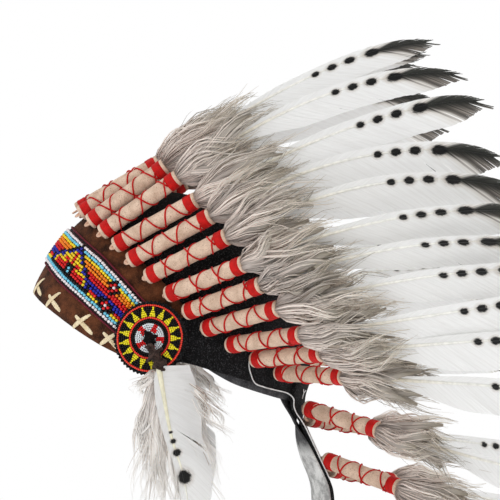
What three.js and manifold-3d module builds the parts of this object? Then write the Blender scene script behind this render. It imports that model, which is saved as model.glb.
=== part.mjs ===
// A feathered headdress: a felt cap with a leather brow, a beaded band, two rosettes,
// a ring of feathers with felt-wrapped quills and fur, and a hanging trail.
// Millimetres, +Z up, the wearer faces -Y and the wearer's left is +X.
// The origin is the centre of the head opening.
import * as THREE from "three";
import { mergeVertices } from "three/addons/utils/BufferGeometryUtils.js";
import Module from "manifold-3d";

const wasm = await Module();
wasm.setup();

// Head form: an egg-shaped dome that leans back by TILT.
const TILT = 23;
const HEAD_HALF_LENGTH = 111.8;
const HEAD_HALF_WIDTH = 78;
const HEAD_TOP = 118;
const HEAD_BOTTOM = -18;
const HEAD_EGG = 0.2;
const HEAD_POWER = 2.49;

// Walls and the clearance between pieces that touch.
const GAP = 0.3;
const FACET_EASE = 0.5;
const FELT_WALL = 2.6;
const SWEAT_WALL = 1.5;
const LEATHER_WALL = 1.8;
const BAND_WALL = 2.7;
const FELT_OUT = FELT_WALL;
const SWEAT_OUT = GAP + 2 * FACET_EASE;
const LEATHER_IN = FELT_OUT + GAP + FACET_EASE;
const LEATHER_OUT = LEATHER_IN + LEATHER_WALL;
const BAND_IN = LEATHER_OUT + GAP;
const BAND_OUT = BAND_IN + BAND_WALL;

// Edges of the sewn pieces: height on the head form at each turn from the front.
const FELT_EDGE = [
  { turn: 0, low: 1.5 },
  { turn: 30, low: -3.2 },
  { turn: 48, low: -7.5 },
  { turn: 60, low: -10.5 },
  { turn: 75, low: -10.5 },
  { turn: 88, low: -6.5 },
  { turn: 100, low: 0.3 },
  { turn: 114.5, low: 2.9 },
  { turn: 127.6, low: 5.1 },
  { turn: 141, low: 6.1 },
  { turn: 180, low: 7 },
];
const LEATHER_EDGE = [
  { turn: 0, low: -0.5, high: 76.5 },
  { turn: 16, low: -2.6, high: 75.5 },
  { turn: 31, low: -5.9, high: 72.3 },
  { turn: 44, low: -9, high: 68.6 },
  { turn: 56, low: -12.5, high: 62.8 },
  { turn: 67, low: -14.8, high: 56 },
  { turn: 80, low: -15.5, high: 48 },
  { turn: 92, low: -12, high: 37 },
];
const BAND_EDGE = [
  { turn: 0, low: 24.4, high: 58 },
  { turn: 14, low: 23.2, high: 57.4 },
  { turn: 27, low: 18.9, high: 55 },
  { turn: 39, low: 14.2, high: 51.6 },
  { turn: 50, low: 10, high: 47.9 },
  { turn: 65, low: 2.3, high: 38.5 },
  { turn: 78, low: -5.2, high: 27.6 },
  { turn: 86, low: -9.5, high: 21 },
];
const SWEAT_EDGE = [
  { turn: 105, low: -3, high: 12 },
  { turn: 122, low: -2.2, high: 16 },
  { turn: 141, low: -1, high: 18 },
  { turn: 160, low: -0.2, high: 19 },
  { turn: 180, low: 0, high: 19 },
];

// Wrapped base of each feather.
const WRAP_LENGTH = 75.5;
const WRAP_RADIUS = 6.2;
const WRAP_SIDES = 7;
const THREAD_RAISED = 0.5;
const WRAP_RINGS = [
  { along: 0, grow: THREAD_RAISED },
  { along: 0.165, grow: THREAD_RAISED },
  { along: 0.185, grow: 0 },
  { along: 0.815, grow: 0 },
  { along: 0.835, grow: THREAD_RAISED },
  { along: 1, grow: THREAD_RAISED },
];
const LOOP_LENGTH = 5;
const LOOP_HALF = 2.2;

// Feather beyond its wrap.
const FEATHER_LENGTH = 228;
const VANE_LEADING = 6;
const VANE_TRAILING = 21.5;
const VANE_WALL = 1.6;
const VANE_BEND = 1.4;
const LOUVRE = 18;
const VANE_DROPS = { from: 80, to: 125, share: 0.85 };
const VANE_SECTIONS = [
  { along: -0.03, leading: 0.3, trailing: 0.09 },
  { along: 0.25, leading: 0.5, trailing: 0.25 },
  { along: 0.48, leading: 0.95, trailing: 0.92 },
  { along: 0.74, leading: 1, trailing: 1 },
  { along: 0.92, leading: 0.8, trailing: 0.75 },
  { along: 1, leading: 0.25, trailing: 0.16 },
];

// Fur round the top of each wrap: locks that start in the wrap and taper to a point.
const FUR_LENGTH = 92;
const FUR_SIDES = 4;
const FUR_LOCKS = [
  { side: 0.1, lift: 0.05, start: 0.95, reach: 1, size: 8 },
  { side: -0.2, lift: 0.6, start: 0.95, reach: 0.78, size: 6.6 },
];
const FUR_RINGS = [
  { along: 0, size: 0.5 },
  { along: 0.3, size: 1 },
  { along: 0.7, size: 0.72 },
];

// Feathers of the cap from the front to the rear on one side.
// turn and height place the wrap, rise and flare aim it, tip columns aim the tip.
const CAP_FEATHERS = [
  { turn: 0, height: 72.2, rise: 30.5, flare: 0, tipRise: 9, tipFlare: 0, length: 0.97 },
  { turn: 17, height: 71, rise: 32, flare: 5, tipRise: 10, tipFlare: 3, length: 0.98 },
  { turn: 31.5, height: 67.9, rise: 36, flare: 9, tipRise: 11, tipFlare: 5, length: 0.99 },
  { turn: 43.5, height: 64.3, rise: 35.2, flare: 12, tipRise: -0.5, tipFlare: 10, length: 1.01 },
  { turn: 54, height: 59.4, rise: 28.7, flare: 15, tipRise: 7, tipFlare: 14, length: 1 },
  { turn: 63.6, height: 53.6, rise: 28.2, flare: 18, tipRise: -12, tipFlare: 20, length: 0.99 },
  { turn: 73.5, height: 47.8, rise: 26.4, flare: 24, tipRise: -15, tipFlare: 22, length: 1 },
  { turn: 83.4, height: 41.5, rise: 22, flare: 33, tipRise: -5, tipFlare: 21, length: 1.01 },
  { turn: 92.3, height: 35, rise: 20.7, flare: 36, tipRise: -9, tipFlare: 20, length: 1.02 },
  { turn: 101.2, height: 28.7, rise: 16.9, flare: 39, tipRise: -2, tipFlare: 19, length: 1.03 },
  { turn: 112.5, height: 24.6, rise: 10.7, flare: 43, tipRise: 11, tipFlare: 20, length: 1.03 },
  { turn: 124.6, height: 21.5, rise: 8.7, flare: 47, tipRise: 3, tipFlare: 22, length: 1.02 },
  { turn: 138.6, height: 18.8, rise: 1, flare: 50, tipRise: -3, tipFlare: 25, length: 1 },
];
const LEATHER_ROWS = 9;

// Trail: a hanging strip, black felt behind and grey suede in front. It starts on the back of the
// cap, bowed as the cap is, and lower down its edges bend to the rear. down and back are measured
// from the nape, the cap's lowest point at the rear, half is half the width and bow the bend.
const TRAIL_FELT = 2.4;
const TRAIL_LINING = 1.4;
const TRAIL_TOP_TURN = 26;
const TRAIL_TOP_HEIGHTS = [17, 8];
const TRAIL_PATH = [
  { down: 10, back: 0.5, half: 37, bow: -9 },
  { down: 22, back: -1.2, half: 33.5, bow: 0 },
  { down: 37, back: -2, half: 31, bow: 8 },
  { down: 51, back: 1, half: 31, bow: 11.5 },
  { down: 66, back: 7, half: 31, bow: 12.5 },
  { down: 77, back: 9.6, half: 31, bow: 13 },
  { down: 98, back: 10.5, half: 31, bow: 13 },
  { down: 117, back: 11, half: 29, bow: 12 },
];
const TRAIL_STAGGER = 13;
const TRAIL_EDGE = 0.78;
const TRAIL_FEATHERS = [
  { down: 10, rise: -13, flare: 42, tipRise: -8, tipFlare: 25, length: 1 },
  { down: 51, rise: -16, flare: 41, tipRise: -12, tipFlare: 25, length: 1 },
  { down: 92, rise: -19, flare: 41, tipRise: -16, tipFlare: 25, length: 0.98 },
];

// Rosettes over the ends of the beaded band.
const ROSETTE_TURN = 84.1;
const ROSETTE_HEIGHT = 6.1;
const ROSETTE_RADIUS = 28.7;
const ROSETTE_PINK = 1.1;
const ROSETTE_PINKS = 20;
const ROSETTE_WALL = 2;
const ROSETTE_LIFT = 0.1;
const BEADWORK_WALL = 2;
const BEADWORK_RINGS = [
  { radius: 0.9, raise: 1 },
  { radius: 0.85, raise: 1 },
  { radius: 0.83, raise: 0.7 },
  { radius: 0.57, raise: 0.7 },
  { radius: 0.54, raise: 1 },
];
const BEADWORK_SIDES = 20;

// Drop under each rosette: a knotted thong, a small feather and a fur tuft.
// back and down are measured from the rosette's centre, later ones from the end of the thong.
const THONG_RADIUS = 2.6;
const THONG_PATH = [
  { back: 1.5, down: -4, size: 0.9 },
  { back: 2, down: 4, size: 1.1 },
  { back: 5, down: 12, size: 1.9 },
  { back: 8, down: 19, size: 2.1 },
  { back: 9.5, down: 27, size: 1.2 },
];
const DROP_WALL = 1.6;
const DROP_SECTIONS = [
  { back: 0, down: GAP, front: 1.5, rear: 5 },
  { back: 2, down: 11, front: 6, rear: 18 },
  { back: 4.5, down: 23, front: 7.5, rear: 21.5 },
  { back: 8, down: 39, front: 7, rear: 23 },
  { back: 12.5, down: 57, front: 6, rear: 23.5 },
  { back: 17.5, down: 75, front: 5.5, rear: 23 },
  { back: 20, down: 93, front: 5, rear: 20 },
  { back: 22.5, down: 111, front: 4, rear: 13 },
  { back: 24, down: 125, front: 1, rear: 2 },
];
const TUFT_THICK = 0.42;
const TUFT_LOCKS = [
  { back: -1.5, down: 2, leanBack: -13, reach: 92, size: 9 },
  { back: 0.5, down: 2, leanBack: 2, reach: 118, size: 12 },
  { back: 2.5, down: 2, leanBack: 27, reach: 108, size: 10 },
];
const TUFT_RINGS = [
  { along: 0, size: 0.45 },
  { along: 0.3, size: 1 },
  { along: 0.72, size: 0.75 },
];

const rad = THREE.MathUtils.degToRad;

// Value of a column between two rows of a table.
function at(table, key, value, column) {
  const rows = table.length;
  if (value <= table[0][key]) return table[0][column];
  for (let i = 1; i < rows; i++) {
    const a = table[i - 1];
    const b = table[i];
    if (value <= b[key]) return a[column] + ((b[column] - a[column]) * (value - a[key])) / (b[key] - a[key]);
  }
  return table[rows - 1][column];
}

// Point of the head form, leaned back: level runs up the dome, out is the distance off it.
function tilted(across, forward, up) {
  const c = Math.cos(rad(TILT));
  const s = Math.sin(rad(TILT));
  return new THREE.Vector3(across, -forward * c + up * s, forward * s + up * c);
}
function shareUp(height, out) {
  return THREE.MathUtils.clamp((height - HEAD_BOTTOM) / (HEAD_TOP - HEAD_BOTTOM + out), 0, 1);
}
function formPoint(turn, share, out) {
  const waist = Math.pow(Math.max(0, 1 - Math.pow(share, HEAD_POWER)), 1 / HEAD_POWER);
  const c = Math.cos(rad(turn));
  const s = Math.sin(rad(turn));
  const forward = (HEAD_HALF_LENGTH + out) * waist * c;
  const across = (HEAD_HALF_WIDTH + out) * waist * s * (1 - HEAD_EGG * c);
  return tilted(across, forward, HEAD_BOTTOM + share * (HEAD_TOP - HEAD_BOTTOM + out));
}
function onForm(turn, height, out) {
  return formPoint(turn, shareUp(height, out), out);
}
function formNormal(turn, height, out) {
  const a = onForm(turn + 0.5, height, out).sub(onForm(turn - 0.5, height, out));
  const b = onForm(turn, height + 0.5, out).sub(onForm(turn, height - 0.5, out));
  return a.cross(b).normalize();
}

// Closed mesh from points and faces, turned so that its faces point out.
function solidOf(points, faces) {
  let volume = 0;
  for (const [a, b, c] of faces) volume += points[a].dot(points[b].clone().cross(points[c]));
  const flat = points.flatMap((p) => [p.x, p.y, p.z]);
  const index = faces.flatMap(([a, b, c]) => (volume < 0 ? [a, c, b] : [a, b, c]));
  const geometry = new THREE.BufferGeometry();
  geometry.setAttribute("position", new THREE.Float32BufferAttribute(flat, 3));
  geometry.setIndex(index);
  return geometry;
}

// Rings of points joined one after another, closed with a fan at each end.
function loft(rings, tip) {
  const points = rings.flat();
  const n = rings[0].length;
  const faces = [];
  for (let i = 0; i + 1 < rings.length; i++) {
    for (let j = 0; j < n; j++) {
      const a = i * n + j;
      const b = i * n + ((j + 1) % n);
      faces.push([a, b, a + n], [b, b + n, a + n]);
    }
  }
  for (let j = 1; j + 1 < n; j++) faces.push([0, j + 1, j]);
  const last = (rings.length - 1) * n;
  if (tip) {
    points.push(tip);
    for (let j = 0; j < n; j++) faces.push([last + j, last + ((j + 1) % n), points.length - 1]);
  } else {
    for (let j = 1; j + 1 < n; j++) faces.push([last, last + j, last + j + 1]);
  }
  return solidOf(points, faces);
}

// Wall between two grids of points of the same size.
function slab(outer, inner) {
  const rows = outer.length;
  const cols = outer[0].length;
  const points = [...outer.flat(), ...inner.flat()];
  const off = rows * cols;
  const faces = [];
  const quad = (a, b, c, d) => faces.push([a, b, c], [a, c, d]);
  for (let i = 0; i + 1 < rows; i++) {
    for (let j = 0; j + 1 < cols; j++) {
      const a = i * cols + j;
      quad(a, a + 1, a + cols + 1, a + cols);
      quad(off + a, off + a + cols, off + a + cols + 1, off + a + 1);
    }
    const a = i * cols;
    const b = a + cols - 1;
    quad(a, a + cols, off + a + cols, off + a);
    quad(b, off + b, off + b + cols, b + cols);
  }
  for (let j = 0; j + 1 < cols; j++) {
    const a = j;
    const b = (rows - 1) * cols + j;
    quad(a, off + a, off + a + 1, a + 1);
    quad(b, b + 1, off + b + 1, off + b);
  }
  return solidOf(points, faces);
}

// Joins closed meshes into one.
function toManifold(geometry) {
  const clean = geometry.clone();
  clean.deleteAttribute("normal");
  clean.deleteAttribute("uv");
  const merged = mergeVertices(clean, 1e-4);
  const mesh = new wasm.Mesh({
    numProp: 3,
    vertProperties: merged.attributes.position.array,
    triVerts: Uint32Array.from(merged.index.array),
  });
  return new wasm.Manifold(mesh);
}
function fromManifold(manifold) {
  const mesh = manifold.getMesh();
  const geometry = new THREE.BufferGeometry();
  geometry.setAttribute("position", new THREE.BufferAttribute(Float32Array.from(mesh.vertProperties), 3));
  geometry.setIndex(new THREE.BufferAttribute(Uint32Array.from(mesh.triVerts), 1));
  return geometry;
}
function fuse(geometries) {
  const [first, ...rest] = geometries.map(toManifold);
  return fromManifold(rest.reduce((whole, one) => whole.add(one), first));
}
function mirrored(geometry) {
  const copy = geometry.clone().scale(-1, 1, 1);
  const index = Array.from(copy.index.array);
  for (let i = 0; i < index.length; i += 3) [index[i], index[i + 1]] = [index[i + 1], index[i]];
  copy.setIndex(index);
  return copy;
}

const looks = {
  felt: { color: 0x17171a, roughness: 0.95, metalness: 0 },
  leather: { color: 0x4a2513, roughness: 0.85, metalness: 0 },
  beads: { color: 0xc8372b, roughness: 0.35, metalness: 0 },
  suede: { color: 0x6f7172, roughness: 0.95, metalness: 0 },
  feather: { color: 0xd8d3cb, roughness: 0.8, metalness: 0 },
  thong: { color: 0x2a1710, roughness: 0.8, metalness: 0 },
  fur: { color: 0xa8a098, roughness: 0.95, metalness: 0 },
};
const headdress = new THREE.Group();
function place(name, geometry, look) {
  const mesh = new THREE.Mesh(geometry, new THREE.MeshStandardMaterial(looks[look]));
  mesh.name = name;
  mesh.geometry.computeVertexNormals();
  headdress.add(mesh);
}

// Felt cap: a closed dome, open below.
const CAP_TURNS = 24;
const CAP_LEVELS = 6;
function capSurface(out) {
  const grid = [];
  for (let i = 0; i < CAP_TURNS; i++) {
    const turn = (360 * i) / CAP_TURNS;
    const side = turn > 180 ? 360 - turn : turn;
    const low = shareUp(at(FELT_EDGE, "turn", side, "low"), out);
    const start = Math.asin(Math.pow(low, HEAD_POWER / 2));
    const column = [];
    for (let j = 0; j < CAP_LEVELS; j++) {
      const angle = start + ((Math.PI / 2 - start) * j) / CAP_LEVELS;
      column.push(formPoint(turn, j === 0 ? low : Math.pow(Math.sin(angle), 2 / HEAD_POWER), out));
    }
    grid.push(column);
  }
  return grid;
}
function capGeometry() {
  const outer = capSurface(FELT_OUT);
  const inner = capSurface(0);
  const points = [...outer.flat(), ...inner.flat()];
  const off = CAP_TURNS * CAP_LEVELS;
  points.push(formPoint(0, 1, FELT_OUT), formPoint(0, 1, 0));
  const top = 2 * off;
  const faces = [];
  const quad = (a, b, c, d) => faces.push([a, b, c], [a, c, d]);
  for (let i = 0; i < CAP_TURNS; i++) {
    const a = i * CAP_LEVELS;
    const b = ((i + 1) % CAP_TURNS) * CAP_LEVELS;
    for (let j = 0; j + 1 < CAP_LEVELS; j++) {
      quad(a + j, b + j, b + j + 1, a + j + 1);
      quad(off + a + j, off + a + j + 1, off + b + j + 1, off + b + j);
    }
    const last = CAP_LEVELS - 1;
    faces.push([a + last, b + last, top]);
    faces.push([off + b + last, off + a + last, top + 1]);
    quad(a, off + a, off + b, b);
  }
  return solidOf(points, faces);
}
const felt = capGeometry();
place("felt_cap", felt, "felt");

// Sewn strips that follow the head form between two turns, with edges on the same turns as the cap's.
function turnsBetween(from, to) {
  const step = 360 / CAP_TURNS;
  const list = [from];
  for (let turn = Math.ceil((from + 3) / step) * step; turn <= to - 3; turn += step) list.push(turn);
  return [...list, to];
}
function strip(table, from, to, levels, inside, outside) {
  const grid = (out) =>
    turnsBetween(from, to).map((turn) => {
      const side = Math.abs(turn > 180 ? 360 - turn : turn);
      const low = at(table, "turn", side, "low");
      const high = at(table, "turn", side, "high");
      const column = [];
      for (let j = 0; j <= levels; j++) column.push(onForm(turn, low + ((high - low) * j) / levels, out));
      return column;
    });
  return slab(grid(outside), grid(inside));
}
const LEATHER_END = LEATHER_EDGE[LEATHER_EDGE.length - 1].turn;
const BAND_END = BAND_EDGE[BAND_EDGE.length - 1].turn;
const SWEAT_START = SWEAT_EDGE[0].turn;
const leather = strip(LEATHER_EDGE, -LEATHER_END, LEATHER_END, 4, LEATHER_IN, LEATHER_OUT);
place("brow_leather", leather, "leather");
place("beaded_band", strip(BAND_EDGE, -BAND_END, BAND_END, 2, BAND_IN, BAND_OUT), "beads");
place("sweat_band", strip(SWEAT_EDGE, SWEAT_START, 360 - SWEAT_START, 1, -SWEAT_OUT - SWEAT_WALL, -SWEAT_OUT), "suede");

// Direction from a rise above level and a flare away from the middle.
function aim(rise, flare) {
  const c = Math.cos(rad(flare));
  return new THREE.Vector3(Math.sin(rad(flare)), c * Math.cos(rad(rise)), c * Math.sin(rad(rise)));
}

// Quill line beyond the wrap: points and directions at a share of its length.
const QUILL_STEPS = 24;
function quillLine(start, row) {
  const length = FEATHER_LENGTH * row.length;
  const line = [start.clone()];
  const turnTo = (share) => {
    const bend = Math.pow(Math.max(0, share), VANE_BEND);
    return aim(row.rise + (row.tipRise - row.rise) * bend, row.flare + (row.tipFlare - row.flare) * bend);
  };
  for (let i = 0; i < QUILL_STEPS; i++) {
    const step = turnTo((i + 0.5) / QUILL_STEPS).multiplyScalar(length / QUILL_STEPS);
    line.push(line[i].clone().add(step));
  }
  return (share) => {
    const way = turnTo(share);
    if (share <= 0) return { point: start.clone().addScaledVector(way, share * length), way };
    const k = Math.min(QUILL_STEPS - 1e-6, share * QUILL_STEPS);
    const i = Math.floor(k);
    return { point: line[i].clone().lerp(line[i + 1], k - i), way };
  };
}

// Ring of points round a centre, in the plane of two directions.
function ring(centre, u, v, a, b, sides, phase = 0) {
  const out = [];
  for (let i = 0; i < sides; i++) {
    const angle = phase + (2 * Math.PI * i) / sides;
    out.push(centre.clone().addScaledVector(u, a * Math.cos(angle)).addScaledVector(v, b * Math.sin(angle)));
  }
  return out;
}

// Wrap and loop, both grown by a margin.
function wrapParts(base, way, side, face, margin) {
  const spot = (along) => base.clone().addScaledVector(way, along);
  const wrapRings = WRAP_RINGS.map((r) => {
    const radius = WRAP_RADIUS + r.grow + margin;
    const over = r.along === 0 ? -margin : 0;
    return ring(spot(r.along * WRAP_LENGTH + over), side, face, radius, radius, WRAP_SIDES);
  });
  const loopRing = (along, half) => ring(spot(along), side, face, half + margin, half + margin, 4);
  const loop = [loopRing(-LOOP_LENGTH - margin, LOOP_HALF * 0.8), loopRing(LOOP_HALF, LOOP_HALF)];
  return [loft(wrapRings), loft(loop)];
}

// One feather: wrap, loop at its base, fur locks and the vane with its quill.
function featherGeometry(base, row, trailing, louvre, even) {
  const way = aim(row.rise, row.flare);
  const side = trailing.clone().addScaledVector(way, -trailing.dot(way)).normalize();
  const face = way.clone().cross(side).normalize();
  const parts = wrapParts(base, way, side, face, 0);
  const top = base.clone().addScaledVector(way, WRAP_LENGTH);
  const quill = quillLine(top, row);
  const frame = (share) => {
    const { point, way: w } = quill(share);
    const t = trailing.clone().addScaledVector(w, -trailing.dot(w)).normalize();
    t.applyAxisAngle(w, rad(louvre));
    return { point, w, t, n: w.clone().cross(t).normalize() };
  };
  const vane = VANE_SECTIONS.map((r) => {
    const { point, t, n } = frame(r.along);
    const lead = even ? (VANE_LEADING * r.leading + VANE_TRAILING * r.trailing) * 0.45 : VANE_LEADING * r.leading;
    const trail = even ? lead : VANE_TRAILING * r.trailing;
    const spot = (a, b) => point.clone().addScaledVector(t, a).addScaledVector(n, b);
    return [spot(-lead, 0), spot(0, VANE_WALL), spot(trail, 0), spot(0, -VANE_WALL)];
  });
  parts.push(loft(vane));
  for (const lock of FUR_LOCKS) {
    const from = (lock.start - 1) * WRAP_LENGTH;
    const reach = FUR_LENGTH * lock.reach;
    const rings = FUR_RINGS.map((r) => {
      const { point, t, n } = frame((from + reach * r.along) / (FEATHER_LENGTH * row.length));
      const size = lock.size * r.size;
      const out = lock.size * r.along * 1.5;
      const centre = point.clone().addScaledVector(t, lock.side * out).addScaledVector(n, lock.lift * out);
      return ring(centre, t, n, size, size * 1.05, FUR_SIDES, 0.4);
    });
    const end = frame((from + reach) / (FEATHER_LENGTH * row.length));
    const out = lock.size * 1.7;
    const tip = end.point.addScaledVector(end.t, lock.side * out).addScaledVector(end.n, lock.lift * out);
    parts.push(loft(rings, tip));
  }
  return fuse(parts);
}

// Lifts a wrap off what carries it until it just clears it.
function liftUntilClear(baseAt, row, trailing, carriers) {
  const way = aim(row.rise, row.flare);
  const side = trailing.clone().addScaledVector(way, -trailing.dot(way)).normalize();
  const face = way.clone().cross(side).normalize();
  const meets = (lift) =>
    wrapParts(baseAt(lift), way, side, face, GAP).some((part) => {
      const solid = toManifold(part);
      return carriers.some((carrier) => solid.intersect(carrier).volume() > 0);
    });
  let low = 0;
  let high = 30;
  for (let i = 0; i < 12; i++) {
    const mid = (low + high) / 2;
    if (meets(mid)) low = mid;
    else high = mid;
  }
  return baseAt(high);
}
const capCarriers = [felt, leather].map(toManifold);
CAP_FEATHERS.forEach((row, i) => {
  const under = i < LEATHER_ROWS ? LEATHER_OUT : FELT_OUT;
  const along = onForm(row.turn + 1, row.height, under).sub(onForm(row.turn - 1, row.height, under)).normalize();
  const rearward = THREE.MathUtils.smoothstep(row.turn, VANE_DROPS.from, VANE_DROPS.to);
  along.lerp(new THREE.Vector3(0, 0, -1), VANE_DROPS.share * rearward);
  const base = liftUntilClear((lift) => onForm(row.turn, row.height, under + lift), row, along, capCarriers);
  const even = i === 0;
  const geometry = featherGeometry(base, row, along, even ? 0 : LOUVRE * (1 - 0.6 * rearward), even);
  if (even) {
    place("feather_front", geometry, "feather");
    return;
  }
  const number = String(i + 1).padStart(2, "0");
  place("feather_left_" + number, geometry, "feather");
  place("feather_right_" + number, mirrored(geometry), "feather");
});

// Trail: two bent sheets one behind the other.
const TRAIL_COLUMNS = 6;
const FELT_BACK = TRAIL_LINING + GAP;
const nape = onForm(180, at(FELT_EDGE, "turn", 180, "low"), 0);
function trailPoint(row, across, out) {
  const y = nape.y + row.back + row.bow * across * across + out;
  return new THREE.Vector3(across * row.half, y, nape.z - row.down);
}
function acrossRow(point) {
  const row = [];
  for (let j = 0; j <= TRAIL_COLUMNS; j++) row.push(point((2 * j) / TRAIL_COLUMNS - 1));
  return row;
}
function trailSheet(front, wall, onCap) {
  const grid = (back) => {
    const top = onCap ? TRAIL_TOP_HEIGHTS : [];
    const out = FELT_OUT + GAP + FACET_EASE + back - front;
    return [
      ...top.map((height) => acrossRow((across) => onForm(180 - across * TRAIL_TOP_TURN, height, out))),
      ...TRAIL_PATH.map((row) => acrossRow((across) => trailPoint(row, across, back))),
    ];
  };
  return slab(grid(front), grid(front + wall));
}
place("trail_lining", trailSheet(0, TRAIL_LINING, false), "suede");
const trailFelt = trailSheet(FELT_BACK, TRAIL_FELT, true);
place("trail_felt", trailFelt, "felt");
const trailCarriers = {
  left: [trailFelt, felt].map(toManifold),
  right: [trailFelt, felt].map((geometry) => toManifold(mirrored(geometry))),
};
const TRAIL_SIDE = new THREE.Vector3(-0.25, 0, -1);

// Feathers down both edges of the trail, those on the right a little lower.
function trailFeather(row, lower, carriers) {
  const down = row.down + lower;
  const here = { down };
  for (const column of ["back", "half", "bow"]) here[column] = at(TRAIL_PATH, "down", down, column);
  const baseAt = (lift) => trailPoint(here, TRAIL_EDGE, FELT_BACK + TRAIL_FELT + lift);
  const base = liftUntilClear(baseAt, row, TRAIL_SIDE, carriers);
  return featherGeometry(base, row, TRAIL_SIDE, LOUVRE * 0.5, false);
}
TRAIL_FEATHERS.forEach((row, i) => {
  place("trail_feather_left_" + (i + 1), trailFeather(row, 0, trailCarriers.left), "feather");
  const right = trailFeather(row, TRAIL_STAGGER, trailCarriers.right);
  place("trail_feather_right_" + (i + 1), mirrored(right), "feather");
});

// Rosettes: a pinked felt disc with a beaded disc on it, facing out from the head.
const rosetteOut = formNormal(ROSETTE_TURN, ROSETTE_HEIGHT, BAND_OUT);
const rosetteDown = new THREE.Vector3(0, 0, -1);
rosetteDown.addScaledVector(rosetteOut, -rosetteDown.dot(rosetteOut)).normalize();
const rosetteBack = new THREE.Vector3().crossVectors(rosetteOut, rosetteDown).normalize();
if (rosetteBack.y < 0) rosetteBack.negate();
const rosetteSeat = onForm(ROSETTE_TURN, ROSETTE_HEIGHT, BAND_OUT).addScaledVector(rosetteOut, GAP + ROSETTE_LIFT);
function rosetteSpot(back, down, out) {
  return rosetteSeat.clone().addScaledVector(rosetteBack, back).addScaledVector(rosetteDown, down)
    .addScaledVector(rosetteOut, out);
}
function onRosette(geometry, out) {
  const turnTo = new THREE.Matrix4().makeBasis(rosetteDown.clone().cross(rosetteOut), rosetteDown, rosetteOut);
  turnTo.setPosition(rosetteSpot(0, 0, out));
  return geometry.applyMatrix4(turnTo);
}
const pinked = new THREE.Shape();
for (let i = 0; i < 2 * ROSETTE_PINKS; i++) {
  const angle = (Math.PI * i) / ROSETTE_PINKS;
  const radius = ROSETTE_RADIUS - (i % 2 ? ROSETTE_PINK : 0);
  if (i === 0) pinked.moveTo(radius, 0);
  else pinked.lineTo(radius * Math.cos(angle), radius * Math.sin(angle));
}
pinked.closePath();
const backing = new THREE.ExtrudeGeometry(pinked, { depth: ROSETTE_WALL, bevelEnabled: false });
const profile = [new THREE.Vector2(0, 0), new THREE.Vector2(ROSETTE_RADIUS * BEADWORK_RINGS[0].radius, 0)];
for (const r of BEADWORK_RINGS) {
  profile.push(new THREE.Vector2(ROSETTE_RADIUS * r.radius, BEADWORK_WALL * r.raise));
}
profile.push(new THREE.Vector2(0, BEADWORK_WALL * 0.5));
const beadwork = new THREE.LatheGeometry(profile, BEADWORK_SIDES).rotateX(Math.PI / 2);
const backingPlaced = fromManifold(toManifold(onRosette(backing, 0)));
const beadworkPlaced = fromManifold(toManifold(onRosette(beadwork, ROSETTE_WALL + GAP)));
place("rosette_backing_left", backingPlaced, "felt");
place("rosette_backing_right", mirrored(backingPlaced), "felt");
place("rosette_beadwork_left", beadworkPlaced, "beads");
place("rosette_beadwork_right", mirrored(beadworkPlaced), "beads");

// Drops: thong, feather and fur tuft, one behind the other.
const faceOut = ROSETTE_WALL + GAP + BEADWORK_WALL + GAP;
const plumb = new THREE.Vector3(0, 0, -1);
const rear = new THREE.Vector3(0, 1, 0);
const aside = new THREE.Vector3(1, 0, 0);
const thongRings = THONG_PATH.map((r) => {
  const half = THONG_RADIUS * r.size;
  return ring(rosetteSpot(r.back, r.down, faceOut + half * 0.85), rear, aside, half, half * 0.8, 7);
});
const thong = loft(thongRings);
place("drop_thong_left", thong, "thong");
place("drop_thong_right", mirrored(thong), "thong");
const thongEnd = THONG_PATH[THONG_PATH.length - 1];
const dropStart = rosetteSpot(thongEnd.back, thongEnd.down, faceOut + THONG_RADIUS * thongEnd.size * 0.85);
function dropSpot(back, down, out) {
  return dropStart.clone().addScaledVector(rear, back).addScaledVector(plumb, down).addScaledVector(aside, out);
}
const dropVane = loft(
  DROP_SECTIONS.map((r) => {
    const spot = (a, b) => dropSpot(r.back + a, r.down, b);
    const edge = DROP_WALL * 0.3;
    const mid = DROP_WALL * 0.5;
    return [
      spot(-r.front, edge), spot(0, mid), spot(r.rear, edge), spot(r.rear, -edge), spot(0, -mid), spot(-r.front, -edge),
    ];
  }),
);
place("drop_feather_left", dropVane, "feather");
place("drop_feather_right", mirrored(dropVane), "feather");
const tuft = fuse(
  TUFT_LOCKS.map((lock) => {
    const out = -(DROP_WALL / 2 + GAP + lock.size * TUFT_THICK);
    const spot = (share) => dropSpot(lock.back + lock.leanBack * share, lock.down + lock.reach * share, out);
    const rings = TUFT_RINGS.map((r) =>
      ring(spot(r.along), rear, aside, lock.size * r.size, lock.size * r.size * TUFT_THICK, 7),
    );
    return loft(rings, spot(1));
  }),
);
place("drop_fur_left", tuft, "fur");
place("drop_fur_right", mirrored(tuft), "fur");

export default headdress;
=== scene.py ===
# %% [markdown]
# # A feathered headdress
# This lesson dresses a plain solid model of a feathered headdress. The solid model gives every
# place and size. Each cell below makes one real thing on it: felt, suede, beads, wraps, fur, feathers.
# The wearer looks along -Y, up is +Z, the wearer's left is +X. Lengths are typed in millimetres and
# turned into metres when a mesh is made.

import math

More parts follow.
